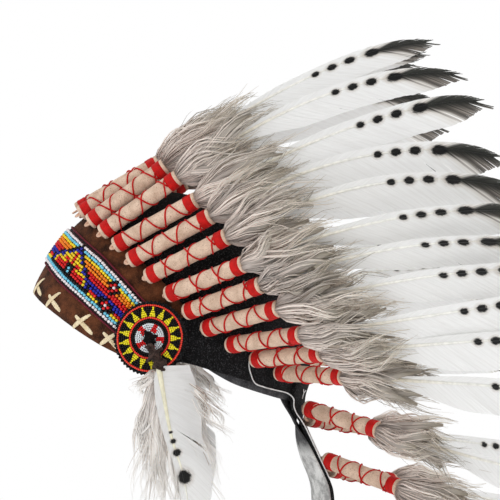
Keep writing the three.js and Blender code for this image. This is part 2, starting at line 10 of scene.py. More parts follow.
import bpy
import numpy as np
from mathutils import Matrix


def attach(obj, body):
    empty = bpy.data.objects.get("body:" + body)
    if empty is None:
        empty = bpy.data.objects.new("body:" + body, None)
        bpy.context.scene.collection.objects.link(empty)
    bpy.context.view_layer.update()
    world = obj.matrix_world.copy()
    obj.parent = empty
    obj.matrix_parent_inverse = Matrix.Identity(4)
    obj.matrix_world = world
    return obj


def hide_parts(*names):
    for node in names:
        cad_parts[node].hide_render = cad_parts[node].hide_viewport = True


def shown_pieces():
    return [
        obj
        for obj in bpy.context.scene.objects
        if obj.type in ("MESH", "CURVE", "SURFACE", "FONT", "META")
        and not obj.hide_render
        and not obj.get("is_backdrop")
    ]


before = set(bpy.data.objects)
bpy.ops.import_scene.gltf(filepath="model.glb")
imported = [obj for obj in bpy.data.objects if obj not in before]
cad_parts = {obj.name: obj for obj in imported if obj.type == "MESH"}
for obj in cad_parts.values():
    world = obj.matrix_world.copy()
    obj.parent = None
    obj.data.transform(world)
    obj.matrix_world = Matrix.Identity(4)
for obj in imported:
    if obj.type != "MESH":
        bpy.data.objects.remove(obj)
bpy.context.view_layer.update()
MM = 0.001
print("solid pieces:", len(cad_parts))

# %% [markdown]
# ## Shapes as arrays
# A shape here is a grid of points worked out all at once: rows follow a path and columns go round or
# across it. A part is a dictionary with its points, its faces, and two numbers for each point that
# the materials read as a map. Parts are joined into one mesh at the end, so a wrap with its thread and
# its loop is one object.


# %% Arrays of points
def unit(v):
    """Each vector divided by its own length."""
    return v / np.maximum(np.linalg.norm(v, axis=-1, keepdims=True), 1e-12)


def grid_faces(rows, cols, closed=False):
    """Quads of a grid numbered row by row: corner, next column, next column of the next row, next row."""
    r = np.arange(rows - 1)[:, None]
    c = np.arange(cols if closed else cols - 1)[None, :]
    a, b = r * cols + c, r * cols + (c + 1) % cols
    return np.stack([a, b, b + cols, a + cols], -1).reshape(-1, 4)


def part(points, quads, tris=None, uv=None, strand=None, tone=None, mat=0, colour=None):
    """A part with every column filled in: uv and strand are maps, tone is one number per point."""
    n = len(points)
    return {
        "points": np.asarray(points, float),
        "quads": np.asarray(quads, int).reshape(-1, 4),
        "tris": np.zeros((0, 3), int) if tris is None else np.asarray(tris, int).reshape(-1, 3),
        "uv": np.zeros((n, 2)) if uv is None else uv,
        "strand": np.zeros((n, 2)) if strand is None else strand,
        "tone": np.zeros(n) if tone is None else np.broadcast_to(tone, (n,)),
        "colour": np.ones((n, 3)) if colour is None else colour,
        "mat": mat,
    }


def turned_out(p):
    """The part with its faces turned so that the volume that they close, a sum of corner products, is positive."""
    pts = p["points"] - p["points"].mean(0)
    f = np.concatenate([p["quads"][:, [0, 1, 2]], p["quads"][:, [0, 2, 3]], p["tris"]])
    volume = np.einsum("ij,ij->", pts[f[:, 0]], np.cross(pts[f[:, 1]], pts[f[:, 2]]))
    if volume < 0:
        p = dict(p, quads=p["quads"][:, ::-1], tris=p["tris"][:, ::-1])
    return p


def mirrored(p):
    """The part on the other side of the middle: x changes its sign and each face its order."""
    return dict(p, points=p["points"] * (-1, 1, 1), quads=p["quads"][:, ::-1], tris=p["tris"][:, ::-1])


def make_piece(name, parts, materials, nodes, crisp=None):
    """One object from several parts. It rides on the root body and stands for the named solid nodes. Edges
    that turn by more than crisp degrees stay sharp, so a thin sheet's rim doesn't darken its face."""
    mesh = bpy.data.meshes.new(name)
    offsets = np.cumsum([0] + [len(p["points"]) for p in parts])
    points = np.concatenate([p["points"] for p in parts]) * MM
    quads = np.concatenate([p["quads"] + o for p, o in zip(parts, offsets)])
    tris = np.concatenate([p["tris"] + o for p, o in zip(parts, offsets)])
    mats = np.concatenate(
        [np.full(len(p["quads"]), p["mat"]) for p in parts] + [np.full(len(p["tris"]), p["mat"]) for p in parts]
    )
    corners = np.concatenate([quads.ravel(), tris.ravel()]).astype(np.int32)
    starts = np.concatenate([4 * np.arange(len(quads)), 4 * len(quads) + 3 * np.arange(len(tris))])
    mesh.vertices.add(len(points))
    mesh.vertices.foreach_set("co", points.astype(np.float32).ravel())
    mesh.loops.add(len(corners))
    mesh.loops.foreach_set("vertex_index", corners)
    mesh.polygons.add(len(starts))
    mesh.polygons.foreach_set("loop_start", starts.astype(np.int32))
    mesh.polygons.foreach_set("material_index", mats.astype(np.int32))
    mesh.update(calc_edges=True)
    for key in ("uv", "strand"):
        layer = mesh.uv_layers.new(name=key)
        values = np.concatenate([p[key] for p in parts])[corners]
        layer.data.foreach_set("uv", values.astype(np.float32).ravel())
    tone = mesh.attributes.new("tone", "FLOAT", "POINT")
    tone.data.foreach_set("value", np.concatenate([p["tone"] for p in parts]).astype(np.float32))
    colours = np.concatenate([p["colour"] for p in parts])
    if colours.min() < 1:
        layer = mesh.attributes.new("colour", "FLOAT_COLOR", "POINT")
        rgba = np.concatenate([colours, np.ones((len(colours), 1))], 1)
        layer.data.foreach_set("color", rgba.astype(np.float32).ravel())
    mesh.polygons.foreach_set("use_smooth", np.ones(len(starts), bool))
    if crisp:
        mesh.set_sharp_from_angle(angle=math.radians(crisp))
    for m in materials:
        mesh.materials.append(m)
    mesh.validate()
    piece = bpy.data.objects.new(name, mesh)
    bpy.context.scene.collection.objects.link(piece)
    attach(piece, "root")
    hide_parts(*nodes)
    return piece


# %% [markdown]
# ## Tubes
# Thread, quills, hair and laces are tubes: a ring of points is carried along a path and stays
# square to it. Many tubes of the same count of points are worked out in one go. Flat laces use a ring
# that is wide one way and thin the other.


# %% Tubes along paths
def tubes(paths, radii, sides, ref, flat=1.0, tone=0.0, mat=0):
    """Point = path + radius (cos a · flat · u + sin a · v), with u the reference made square to the path
    and v square to both. paths is K×N×3, radii K×N, ref K×3; tone is one number for each tube."""
    paths = np.asarray(paths, float)
    k, n, _ = paths.shape
    radii = np.broadcast_to(radii, (k, n))
    way = unit(np.gradient(paths, axis=1))
    ref = np.broadcast_to(ref, (k, 3))[:, None, :]
    u = unit(ref - (ref * way).sum(-1, keepdims=True) * way)
    v = np.cross(way, u)
    a = 2 * np.pi * np.arange(sides) / sides
    ring = flat * u[:, :, None, :] * np.cos(a)[:, None] + v[:, :, None, :] * np.sin(a)[:, None]
    points = paths[:, :, None, :] + radii[:, :, None, None] * ring
    base = np.arange(k)[:, None, None] * n * sides
    quads = (grid_faces(n, sides, True)[None] + base).reshape(-1, 4)
    j = np.arange(1, sides - 1)
    fan = np.stack([np.zeros_like(j), j, j + 1], -1)
    caps = np.concatenate([fan[:, ::-1], fan + (n - 1) * sides])
    tris = (caps[None] + base).reshape(-1, 3)
    steps = np.linalg.norm(np.diff(paths, axis=1), axis=-1)
    length = np.concatenate([np.zeros((k, 1)), np.cumsum(steps, 1)], 1)
    uv = np.empty((k, n, sides, 2))
    uv[..., 0] = a / (2 * np.pi)
    uv[..., 1] = length[:, :, None] * MM
    strand = np.empty((k, n, sides, 2))
    strand[..., 0] = (length / length[:, -1:])[:, :, None]
    strand[..., 1] = (np.arange(k)[:, None, None] * 0.37) % 1
    tones = np.broadcast_to(np.reshape(np.broadcast_to(tone, (k,)), (k, 1, 1)), (k, n, sides)).reshape(-1)
    return part(points.reshape(-1, 3), quads, tris, uv.reshape(-1, 2), strand.reshape(-1, 2), tones, mat)


def shell(outer, inner, mat=0, closed=False):
    """A wall between two grids of the same size, closed round its edges. uv is the share along and across."""
    rows, cols, _ = outer.shape
    off = rows * cols
    face = grid_faces(rows, cols, closed)
    quads = [face, face[:, ::-1] + off]
    c = np.arange(cols if closed else cols - 1)
    d = (c + 1) % cols
    quads.append(np.stack([c, c + off, d + off, d], -1))
    last = (rows - 1) * cols
    quads.append(np.stack([d + last, d + last + off, c + last + off, c + last], -1))
    if not closed:
        r = np.arange(rows - 1) * cols
        quads.append(np.stack([r + cols, r + cols + off, r + off, r], -1))
        r = r + cols - 1
        quads.append(np.stack([r, r + off, r + cols + off, r + cols], -1))
    u, v = np.meshgrid(np.linspace(0, 1, rows), np.linspace(0, 1, cols), indexing="ij")
    uv = np.stack([u, v], -1).reshape(-1, 2)
    points = np.concatenate([outer.reshape(-1, 3), inner.reshape(-1, 3)])
    return turned_out(part(points, np.concatenate(quads), uv=np.concatenate([uv, uv]), mat=mat))


# %% [markdown]
# ## The head form
# Everything sewn to the cap follows one egg-shaped dome that leans back. A place on it has a turn
# (0 in front, 90 at the left side, 180 behind), a height, and a distance out from the dome.

# %% Head form
TILT = math.radians(23)
HEAD = {"length": 111.8, "width": 78.0, "top": 118.0, "bottom": -18.0, "egg": 0.2, "power": 2.49}


def form_point(turn, share, out):
    """Waist = (1 - share^power)^(1/power). The ring at that level has half-lengths times the waist, is wider
    towards the rear by the egg share, and the whole dome is leaned back by the tilt."""
    turn, share, out = np.broadcast_arrays(np.radians(turn), share, np.asarray(out, float))
    waist = np.maximum(1 - share ** HEAD["power"], 0) ** (1 / HEAD["power"])
    forward = (HEAD["length"] + out) * waist * np.cos(turn)
    across = (HEAD["width"] + out) * waist * np.sin(turn) * (1 - HEAD["egg"] * np.cos(turn))
    up = HEAD["bottom"] + share * (HEAD["top"] - HEAD["bottom"] + out)
    c, s = math.cos(TILT), math.sin(TILT)
    return np.stack([across, -forward * c + up * s, forward * s + up * c], -1)


def on_form(turn, height, out):
    """The point at a height instead of a share of the way up."""
    out = np.asarray(out, float)
    share = np.clip((height - HEAD["bottom"]) / (HEAD["top"] - HEAD["bottom"] + out), 0, 1)
    return form_point(turn, share, out)


def form_axes(turn, height, out):
    """Direction round, direction up and direction out of the form, from small differences."""
    round_ = unit(on_form(turn + 0.3, height, out) - on_form(turn - 0.3, height, out))
    up = unit(on_form(turn, height + 0.3, out) - on_form(turn, height - 0.3, out))
    return round_, up, unit(np.cross(round_, up))


def edge(table, turn, column):
    """A table's column at any turn, averaged over 8 degrees so that its corners are rounded."""
    rows = np.array(table, float)
    sides = [np.interp(np.abs(turn + d), rows[:, 0], rows[:, column]) for d in np.linspace(-4, 4, 9)]
    return np.mean(sides, axis=0)


# %% [markdown]
# ## Materials
# Every finish is a small graph of nodes: noise gives the nap of felt and suede, stretched noise gives
# hair and barbs, and the maps that the parts carry tell a feather where its dots and its tip are.
# A number that is the same all over stays on the shader's own socket.


# %% A small helper for node graphs
class Finish:
    """A material and short ways to add nodes to it. A value may be a number or another node's output."""

    def __init__(self, name, **sockets):
        self.material = bpy.data.materials.new(name)
        self.material.use_nodes = True
        self.tree = self.material.node_tree
        self.shader = self.tree.nodes["Principled BSDF"]
        self.set(self.shader, **sockets)

    def set(self, node, **values):
        for key, value in values.items():
            socket = node.inputs[int(key[1:]) if key[0] == "i" and key[1:].isdigit() else key.replace("_", " ")]
            if hasattr(value, "links"):
                self.tree.links.new(value, socket)
            else:
                socket.default_value = value

    def add(self, kind, out=0, props=None, **values):
        node = self.tree.nodes.new("ShaderNode" + kind)
        for key, value in (props or {}).items():
            setattr(node, key, value)
        self.set(node, **values)
        return node.outputs[out]

    def coords(self):
        return self.add("TexCoord", "Object")

    def attribute(self, name, out="Fac"):
        return self.add("Attribute", out, {"attribute_name": name})

    def map(self, name):
        return self.add("UVMap", 0, {"uv_map": name})

    def scaled(self, vector, scale):
        return self.add("VectorMath", 0, {"operation": "MULTIPLY"}, i0=vector, i1=scale)

    def noise(self, vector, scale, detail=3.0, rough=0.5):
        return self.add("TexNoise", "Fac", Vector=vector, Scale=scale, Detail=detail, Roughness=rough)

    def math(self, operation, a, b=0.0, c=0.0):
        return self.add("Math", 0, {"operation": operation}, i0=a, i1=b, i2=c)

    def ramp(self, value, low, high, a=0.0, b=1.0):
        """Goes smoothly from a to b while value goes from low to high."""
        props = {"interpolation_type": "SMOOTHSTEP"}
        return self.add("MapRange", 0, props, i0=value, i1=low, i2=high, i3=a, i4=b)

    def mix(self, share, a, b):
        node = self.tree.nodes.new("ShaderNodeMix")
        node.data_type = "RGBA"
        for socket, value in ((node.inputs[0], share), (node.inputs[6], a), (node.inputs[7], b)):
            if hasattr(value, "links"):
                self.tree.links.new(value, socket)
            else:
                socket.default_value = (*value, 1) if isinstance(value, tuple) else value
        return node.outputs[2]

    def shade(self, colour, amount):
        """The colour times one number at each place."""
        node = self.tree.nodes.new("ShaderNodeVectorMath")
        node.operation = "SCALE"
        self.tree.links.new(colour, node.inputs[0])
        self.tree.links.new(amount, node.inputs["Scale"])
        return node.outputs[0]

    def bump(self, height, distance, strength=1.0):
        return self.add("Bump", 0, Strength=strength, Distance=distance, Height=height)

    def done(self, colour, normal=None):
        for key, value in (("Base Color", colour), ("Normal", normal)):
            if value is not None:
                self.tree.links.new(value, self.shader.inputs[key])
        return self.material


# %% [markdown]
# ### Felt and suede
# Felt is pressed wool: no weave, only short fibres that lie every way. Two sizes of noise make its
# cloudy surface, and a fine bump breaks the light. Suede has a shorter nap with darker and lighter
# patches where it was rubbed.


# %% Felt and suede finishes
def napped(name, dark, light, speck, grain=900.0, cloud=40.0, depth=0.0006, sheen=0.3, specks=0.0):
    """Colour goes from dark to light with clouds of noise, and a share of fine specks goes to speck."""
    f = Finish(name, Roughness=0.95, Sheen_Weight=sheen, Sheen_Roughness=0.6, Specular_IOR_Level=0.15)
    place = f.coords()
    clouds = f.noise(place, cloud, 4.0, 0.6)
    fibres = f.noise(place, grain, 2.0, 0.7)
    colour = f.mix(f.ramp(clouds, 0.3, 0.7), dark, light)
    colour = f.mix(f.ramp(fibres, 0.62 - specks * 0.2, 0.74, 0.0, specks), colour, speck)
    colour = f.shade(colour, f.ramp(fibres, 0.25, 0.75, 0.8, 1.2))
    height = f.math("ADD", f.math("MULTIPLY", fibres, 0.5), f.noise(place, grain * 0.3, 3.0, 0.6))
    return f.done(colour, f.bump(height, depth, 0.9))


felt_black = napped("felt_black", (0.001, 0.001, 0.001), (0.007, 0.007, 0.008), (0.085, 0.085, 0.09), sheen=0.03,
                    specks=0.6)
felt_cream = napped("felt_cream", (0.64, 0.455, 0.335), (0.86, 0.65, 0.50), (0.22, 0.12, 0.085), 1000.0, 110.0,
                    0.0004, 0.05, 0.8)
suede_brown = napped("suede_brown", (0.016, 0.005, 0.002), (0.135, 0.042, 0.015), (0.20, 0.08, 0.04), 1100.0, 75.0,
                     0.0004, 0.04, 0.4)
suede_dark = napped("suede_dark", (0.03, 0.03, 0.034), (0.075, 0.075, 0.08), (0.3, 0.3, 0.3), 1100.0, 120.0,
                    0.0005, 0.1, 0.35)
lace_cream = napped("lace_cream", (0.72, 0.58, 0.36), (0.92, 0.80, 0.56), (0.50, 0.36, 0.20), 900.0, 200.0,
                    0.0003, 0.05, 0.3)
loop_hide = napped("loop_hide", (0.62, 0.36, 0.26), (0.76, 0.52, 0.38), (0.45, 0.2, 0.14), 900.0, 200.0, 0.0002, 0.05)
thong_hide = napped("thong_hide", (0.012, 0.006, 0.005), (0.075, 0.045, 0.037), (0.22, 0.17, 0.15), 1200.0, 260.0,
                    0.0006, 0.05, 0.3)
# The black lump's finish: black hide, and painted shade for the rosette's hole and its shadow.
black_hide_and_hole_shade = napped("black_hide_and_hole_shade", (0.001, 0.001, 0.001), (0.005, 0.004, 0.004), (0.06, 0.05, 0.05), 1200.0, 260.0,
                     0.0006, 0.03, 0.3)


def lining_finish():
    """Suede, black above a set height and below it a painted reflection: pale grey in wide clouds."""
    f = Finish("suede_grey", Roughness=0.95, Sheen_Weight=0.08, Sheen_Roughness=0.6, Specular_IOR_Level=0.15)
    place = f.coords()
    clouds, fibres = f.noise(place, 90.0, 4.0, 0.65), f.noise(place, 1300.0, 2.0, 0.7)
    high = f.add("SeparateXYZ", 2, None, Vector=place)
    high = f.math("ADD", high, f.math("MULTIPLY", f.math("SUBTRACT", clouds, 0.5), 0.03))
    # Painted reflection: below a set height the black suede turns pale grey in clouds, standing in for light
    # reflected on it.
    pale = f.mix(f.ramp(clouds, 0.35, 0.65), (0.34, 0.34, 0.335), (0.78, 0.78, 0.765))
    dark = f.mix(f.ramp(clouds, 0.3, 0.7), (0.022, 0.022, 0.025), (0.07, 0.07, 0.074))
    colour = f.mix(f.ramp(high, -0.084, -0.070), pale, dark)
    colour = f.shade(colour, f.ramp(fibres, 0.25, 0.75, 0.84, 1.14))
    return f.done(colour, f.bump(f.math("ADD", fibres, clouds), 0.0005, 0.8))


suede_grey = lining_finish()
print("napped finishes made")

# %% [markdown]
# ### Thread and beads
# Sewing thread is twisted, so a fine wave runs across it. Glass beads are smooth and shine, and each
# takes its colour from the part.


# %% Thread and bead finishes
def thread_finish(name, colour, dark, pitch=0.0006):
    """Bands across the tube every pitch metres, with painted shade in the grooves."""
    f = Finish(name, Roughness=0.6, Sheen_Weight=0.04, Specular_IOR_Level=0.2)
    along = f.add("SeparateXYZ", 1, None, Vector=f.map("uv"))
    wobble = f.noise(f.coords(), 350.0, 2.0)
    turns = f.math("ADD", f.math("MULTIPLY", along, 1 / pitch), f.math("MULTIPLY", wobble, 1.2))
    wave = f.math("PINGPONG", turns, 0.5)
    # Painted shade: the grooves of the twist take the dark colour.
    tint = f.mix(f.ramp(wave, 0.02, 0.3), dark, colour)
    tint = f.shade(tint, f.ramp(f.noise(f.coords(), 220.0, 3.0), 0.3, 0.7, 0.82, 1.12))
    return f.done(tint, f.bump(wave, 0.00035, 0.8))


thread_red = thread_finish("thread_red", (0.72, 0.007, 0.005), (0.34, 0.002, 0.002))
thread_white = thread_finish("thread_white", (0.92, 0.92, 0.91), (0.60, 0.60, 0.60), 0.0008)


def bead_finish():
    """Glass beads: the part's own colour, slightly uneven, under a clear gloss."""
    f = Finish("glass_beads", Roughness=0.25, Coat_Weight=0.35, Coat_Roughness=0.08, Specular_IOR_Level=0.35)
    uneven = f.ramp(f.noise(f.coords(), 500.0, 1.0), 0.3, 0.7, 0.9, 1.08)
    return f.done(f.shade(f.attribute("colour", "Color"), uneven))


glass_beads = bead_finish()
print("thread and bead finishes made")

# %% [markdown]
# ### Fur
# The plume round each wrap is long soft fur: grey-beige, paler towards the ends, with a few brown guard hairs.
# Painted shade darkens the inner locks and the filling bodies, and the darker roots are partly painted shade. Every
# lock and hair carries a tone, and the map says how far along it is.


# %% Fur finish
def fur_finish(name, root, middle, end, brown, tan=0.0):
    """Colour from root to end by the strand map, times the tone of the hair, which holds painted shade on inner locks
    and bodies; the darker root is partly painted shade. A share tan of it is mixed in at the very ends, and some
    hairs are brown."""
    f = Finish(name, Roughness=0.6, Sheen_Weight=0.1, Specular_IOR_Level=0.25)
    share = f.add("SeparateXYZ", 0, None, Vector=f.map("strand"))
    tone = f.attribute("tone")
    hairs = f.noise(f.scaled(f.map("uv"), (14.0, 30.0, 1.0)), 3.0, 4.0, 0.7)
    # The darker root is partly the fur's own colour and partly painted shade where the locks crowd together.
    colour = f.mix(f.ramp(share, 0.0, 0.3), root, middle)
    colour = f.mix(f.ramp(share, 0.35, 1.0), colour, end)
    colour = f.mix(f.ramp(share, 0.72, 1.0, 0.0, tan), colour, (0.50, 0.42, 0.31))
    # Painted shade: a low tone, given to inner locks and the filling bodies, darkens them.
    colour = f.shade(colour, f.ramp(tone, -0.75, 0.55, 0.5, 1.2))
    colour = f.mix(f.ramp(tone, -1.0, -0.75, 1.0, 0.0), colour, brown)
    colour = f.shade(colour, f.ramp(hairs, 0.3, 0.7, 0.82, 1.1))
    return f.done(colour, f.bump(hairs, 0.0006, 0.6))


long_fur = fur_finish("long_fur", (0.52, 0.42, 0.37), (0.97, 0.855, 0.78),
                      (1.0, 0.93, 0.83), (0.20, 0.13, 0.075), 0.75)
tuft_fur = fur_finish("tuft_fur", (0.62, 0.52, 0.46), (0.99, 0.93, 0.88), (1.0, 0.97, 0.93), (0.42, 0.30, 0.22))

# %% [markdown]
# ### The feathers' vane
# The vane is white with fine lines along its barbs. Four black dots are painted on the quill, each
# larger than the one before and soft at its rim, and the end is dark: nearly black on the narrow
# side, brown-grey and streaked on the wide side. The first map gives the place on the feather in
# metres (along, across), and the second gives where a barb is rooted and how far along it we are.

# %% Vane finish
DOTS = ((137.0, 3.1, 2.5), (150.5, 3.9, 2.9), (165.0, 4.3, 3.1), (183.0, 6.0, 3.9))
TIP_FROM = 186.0


def feather_finish(name, dots, tip_from, horn=False, near_root=(0.82, 0.74, 0.58)):
    """dots: (along, half length, half width) in mm. A dot is 1 where the scaled distance to its middle is
    under 1. The tip starts where the barbs are rooted beyond tip_from. horn gives the quill's own colour."""
    f = Finish(name, Roughness=0.42 if horn else 0.6, Sheen_Weight=0.1, Specular_IOR_Level=0.3,
               Subsurface_Weight=0.0 if horn else 0.6, Subsurface_Scale=0.001, Subsurface_Radius=(1, 1, 1))
    spot = f.map("uv")
    barb = f.map("strand")
    root = f.add("SeparateXYZ", 0, None, Vector=barb)
    across = f.add("SeparateXYZ", 1, None, Vector=spot)
    tone = f.attribute("tone")
    fine = f.noise(f.scaled(barb, (1.0, 0.035, 1.0)), 2600.0, 2.0, 0.6)
    broad = f.noise(f.scaled(barb, (1.0, 0.12, 1.0)), 330.0, 3.0, 0.6)
    if horn:
        streaks = f.noise(f.coords(), 260.0, 2.0)
        colour = f.mix(f.ramp(root, 0.02, 0.12), near_root, (0.92, 0.91, 0.86))
        colour = f.shade(colour, f.ramp(streaks, 0.3, 0.7, 0.9, 1.05))
    else:
        colour = f.mix(f.ramp(broad, 0.35, 0.75), (0.915, 0.915, 0.90), (0.85, 0.845, 0.825))
        colour = f.shade(colour, f.ramp(fine, 0.25, 0.75, 0.94, 1.03))
    fuzz = f.noise(f.scaled(barb, (1.0, 0.5, 1.0)), 900.0, 2.0, 0.6)
    ragged = f.math("MULTIPLY", f.math("SUBTRACT", fuzz, 0.5), 0.9)
    moved = f.add("CombineXYZ", 0, None, X=f.math("MULTIPLY", tone, 0.003), Y=f.math("MULTIPLY", tone, 0.0004))
    place = f.add("VectorMath", 0, {"operation": "SUBTRACT"}, i0=spot, i1=moved)
    halo, dark = 0.0, 0.0
    for along, half, wide in dots:
        middle = f.add("VectorMath", 0, {"operation": "SUBTRACT"}, i0=place, i1=(along * MM, 0.0004, 0.0))
        size = (1 / (half * MM), 1 / (wide * MM), 0.0)
        away = f.add("VectorMath", "Value", {"operation": "LENGTH"}, i0=f.scaled(middle, size))
        away = f.math("ADD", away, ragged)
        dark = f.math("MAXIMUM", f.ramp(away, 0.8, 1.2, 1.0, 0.0), dark)
        halo = f.math("MAXIMUM", f.ramp(away, 0.9, 1.9, 0.5, 0.0), halo)
    side = f.ramp(across, 0.0, 0.009)
    streak = f.noise(f.scaled(barb, (1.0, 0.06, 1.0)), 700.0, 3.0, 0.65)
    edge_at = f.math("ADD", root, f.math("MULTIPLY", f.math("SUBTRACT", broad, 0.5), 0.018))
    edge_at = f.math("ADD", edge_at, f.math("MULTIPLY", side, -0.007))
    tip = f.ramp(edge_at, (tip_from - 8) * MM, (tip_from + 2) * MM)
    dusk = f.ramp(edge_at, (tip_from - 20) * MM, (tip_from - 3) * MM, 0.0, 0.45)
    black = f.mix(f.ramp(streak, 0.3, 0.8), (0.008, 0.009, 0.008), (0.05, 0.05, 0.042))
    brown = f.mix(f.ramp(streak, 0.3, 0.75), (0.032, 0.028, 0.024), (0.27, 0.235, 0.20))
    colour = f.mix(dusk, colour, (0.58, 0.51, 0.43))
    colour = f.mix(halo, colour, (0.42, 0.36, 0.30))
    colour = f.mix(tip, colour, f.mix(side, black, brown))
    colour = f.mix(dark, colour, (0.007, 0.007, 0.007))
    lines = f.math("ADD", fine, f.math("MULTIPLY", broad, 0.8))
    return f.done(colour, f.bump(lines, 0.0003, 0.4))


vane_white = feather_finish("vane_white", DOTS, TIP_FROM)
quill_horn = feather_finish("quill_horn", DOTS, TIP_FROM, horn=True)
print("feather finishes with", len(DOTS), "dots")

# %% [markdown]
# ## Camera, floor and light
# The camera looks at the wearer's left side from 1.5 m, level with the middle of the picture. The
# floor is a pale disc well below, and the light is a white sky with two large soft lamps.

# %% Camera, floor and light
CAMERA = (1500.0, 66.0, 77.2)
camera = bpy.data.objects.new("camera", bpy.data.cameras.new("camera"))
camera.location = [c * MM for c in CAMERA]
camera.rotation_euler = (math.pi / 2, 0, math.pi / 2)
camera.data.lens = 135
camera.data.sensor_width = 36
bpy.context.scene.collection.objects.link(camera)
bpy.context.scene.camera = camera


def make_floor(height, radius, segments=96):
    """A disc of one fan of triangles."""
    a = 2 * np.pi * np.arange(segments) / segments
    rim = np.stack([radius * np.cos(a), 70 + radius * np.sin(a), np.full(segments, height)], -1)
    points = np.concatenate([[[0, 70, height]], rim]) * MM
    j = np.arange(segments)
    faces = np.stack([np.zeros_like(j), j + 1, (j + 1) % segments + 1], -1)
    mesh = bpy.data.meshes.new("floor")
    mesh.from_pydata(points.tolist(), [], faces.tolist())
    floor = bpy.data.objects.new("floor", mesh)
    bpy.context.scene.collection.objects.link(floor)
    f = Finish("floor_white", Roughness=0.9)
    uneven = f.ramp(f.noise(f.coords(), 6.0, 2.0), 0.2, 0.8, 0.97, 1.0)
    mesh.materials.append(f.done(f.shade(f.add("RGB"), uneven)))
    mesh.materials[0].node_tree.nodes["RGB"].outputs[0].default_value = (0.93, 0.93, 0.93, 1)
    floor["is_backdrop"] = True


def make_sky(seen, given, mirrored_in):
    """A white sky: brightness seen by the camera, given to things, and seen as a reflection in them."""
    world = bpy.data.worlds.new("sky")
    world.use_nodes = True
    tree = world.node_tree
    ray = tree.nodes.new("ShaderNodeLightPath")
    lower, upper = tree.nodes.new("ShaderNodeMapRange"), tree.nodes.new("ShaderNodeMapRange")
    lower.inputs["To Min"].default_value = given
    lower.inputs["To Max"].default_value = mirrored_in
    upper.inputs["To Max"].default_value = seen
    tree.links.new(ray.outputs["Is Glossy Ray"], lower.inputs["Value"])
    tree.links.new(lower.outputs[0], upper.inputs["To Min"])
    tree.links.new(ray.outputs["Is Camera Ray"], upper.inputs["Value"])
    tree.links.new(upper.outputs[0], tree.nodes["Background"].inputs[1])
    tree.nodes["Background"].inputs[0].default_value = (1, 1, 1, 1)
    bpy.context.scene.world = world


make_floor(-300.0, 1300.0)
make_sky(1.0, 0.98, 0.3)
bpy.context.scene.view_settings.view_transform = "Standard"


def lamp(name, place, aim, size, power):
    """A square lamp that faces the point aim."""
    light = bpy.data.objects.new(name, bpy.data.lights.new(name, "AREA"))
    light.data.size = size
    light.data.energy = power
    light.location = place
    way = np.array(aim) - np.array(place)
    light.rotation_euler = (math.acos(-way[2] / np.linalg.norm(way)), 0, math.atan2(way[0], -way[1]))
    bpy.context.scene.collection.objects.link(light)


lamp("key", (1.5, -0.8, 1.5), (0, 0.1, 0.05), 0.6, 118)
lamp("fill", (1.4, 1.3, 0.5), (0, 0.1, 0.05), 1.0, 16)
lamp("far_side", (-1.6, 0.3, 1.3), (0, 0.1, 0.05), 1.0, 30)

# %% [markdown]
# ## The cap, brow leather and sweat band
# The cap is a thick felt dome with a rounded hem. The suede strip in front of it lies on the felt and
# runs from side to side, and a darker strip shows under the hem behind. All three are shells: two
# surfaces of the same formula at two distances out, joined round their edges.

# %% Felt cap
FELT_EDGE = ((0, 1.5), (30, -3.2), (48, -7.5), (60, -10.5), (75, -10.5), (88, -6.5), (100, 0.3), (114.5, 2.9),
             (127.6, 5.1), (141, 6.1), (180, 7))
FELT_OUT = 2.6
GAP = 0.3


def felt_cap(turns=132, levels=36):
    """Rings from the hem to the pole, at equal angles of the superellipse, at the two distances of the wall."""
    turn = 360 * np.arange(turns) / turns
    side = np.where(turn > 180, 360 - turn, turn)
    rows = []
    for out in (FELT_OUT, 0.0):
        low = (edge(FELT_EDGE, side, 1) - HEAD["bottom"]) / (HEAD["top"] - HEAD["bottom"] + out)
        start = np.arcsin(low ** (HEAD["power"] / 2))
        angle = start + (np.pi / 2 - start) * np.linspace(0, 0.995, levels)[:, None]
        rows.append(form_point(turn, np.sin(angle) ** (2 / HEAD["power"]), out))
    hem = (rows[0][:1] + rows[1][:1]) / 2 + (0, 0, -0.8)
    sheet = np.concatenate([rows[0][::-1], hem, rows[1]])
    count = len(sheet)
    quads = grid_faces(count, turns, True)
    j = np.arange(turns)
    top, under = count * turns, count * turns + 1
    tris = np.concatenate([
        np.stack([np.full(turns, top), (j + 1) % turns, j], -1),
        np.stack([np.full(turns, under), (count - 1) * turns + j, (count - 1) * turns + (j + 1) % turns], -1),
    ])
    poles = [form_point(0.0, 1.0, FELT_OUT), form_point(0.0, 1.0, 0.0)]
    return turned_out(part(np.concatenate([sheet.reshape(-1, 3), poles]), quads, tris))


cap = make_piece("felt_cap_dressed", [felt_cap()], [felt_black], ["felt_cap"])
print("cap:", len(cap.data.polygons), "faces")

# %% Strips on the form
LEATHER_EDGE = ((0, -0.5, 76.5), (16, -2.6, 75.5), (31, -5.9, 72.3), (44, -9, 68.6), (56, -12.5, 62.8),
                (67, -14.8, 56), (80, -15.5, 48), (92, -12, 37))
SWEAT_EDGE = ((105, 3, 12), (110, 0.5, 13), (122, -2.2, 16), (141, -1, 18), (160, -0.2, 19), (180, 0, 19))
LEATHER_IN, LEATHER_OUT = 3.4, 5.2


def strip(table, start, end, inside, outside, cols=131, levels=12, wave=0.0):
    """Between the table's low and high edge from one turn to another. wave lifts it in slow swells."""
    turn = np.linspace(start, end, cols)
    side = np.abs(np.where(turn > 180, 360 - turn, turn))
    low, high = edge(table, side, 1), edge(table, side, 2)
    height = low + (high - low) * np.linspace(0, 1, levels)[:, None]
    slow = np.sin(turn * 0.31) * np.sin(height * 0.13 + turn * 0.05)
    swell = wave * (slow + 0.6 * np.sin(turn * 0.9 + height * 0.2))
    ease = np.ones(levels)
    ease[[0, -1]] = 0.6
    outer = on_form(turn, height, inside + (outside - inside) * ease[:, None] + swell)
    return shell(outer, on_form(turn, height, inside))


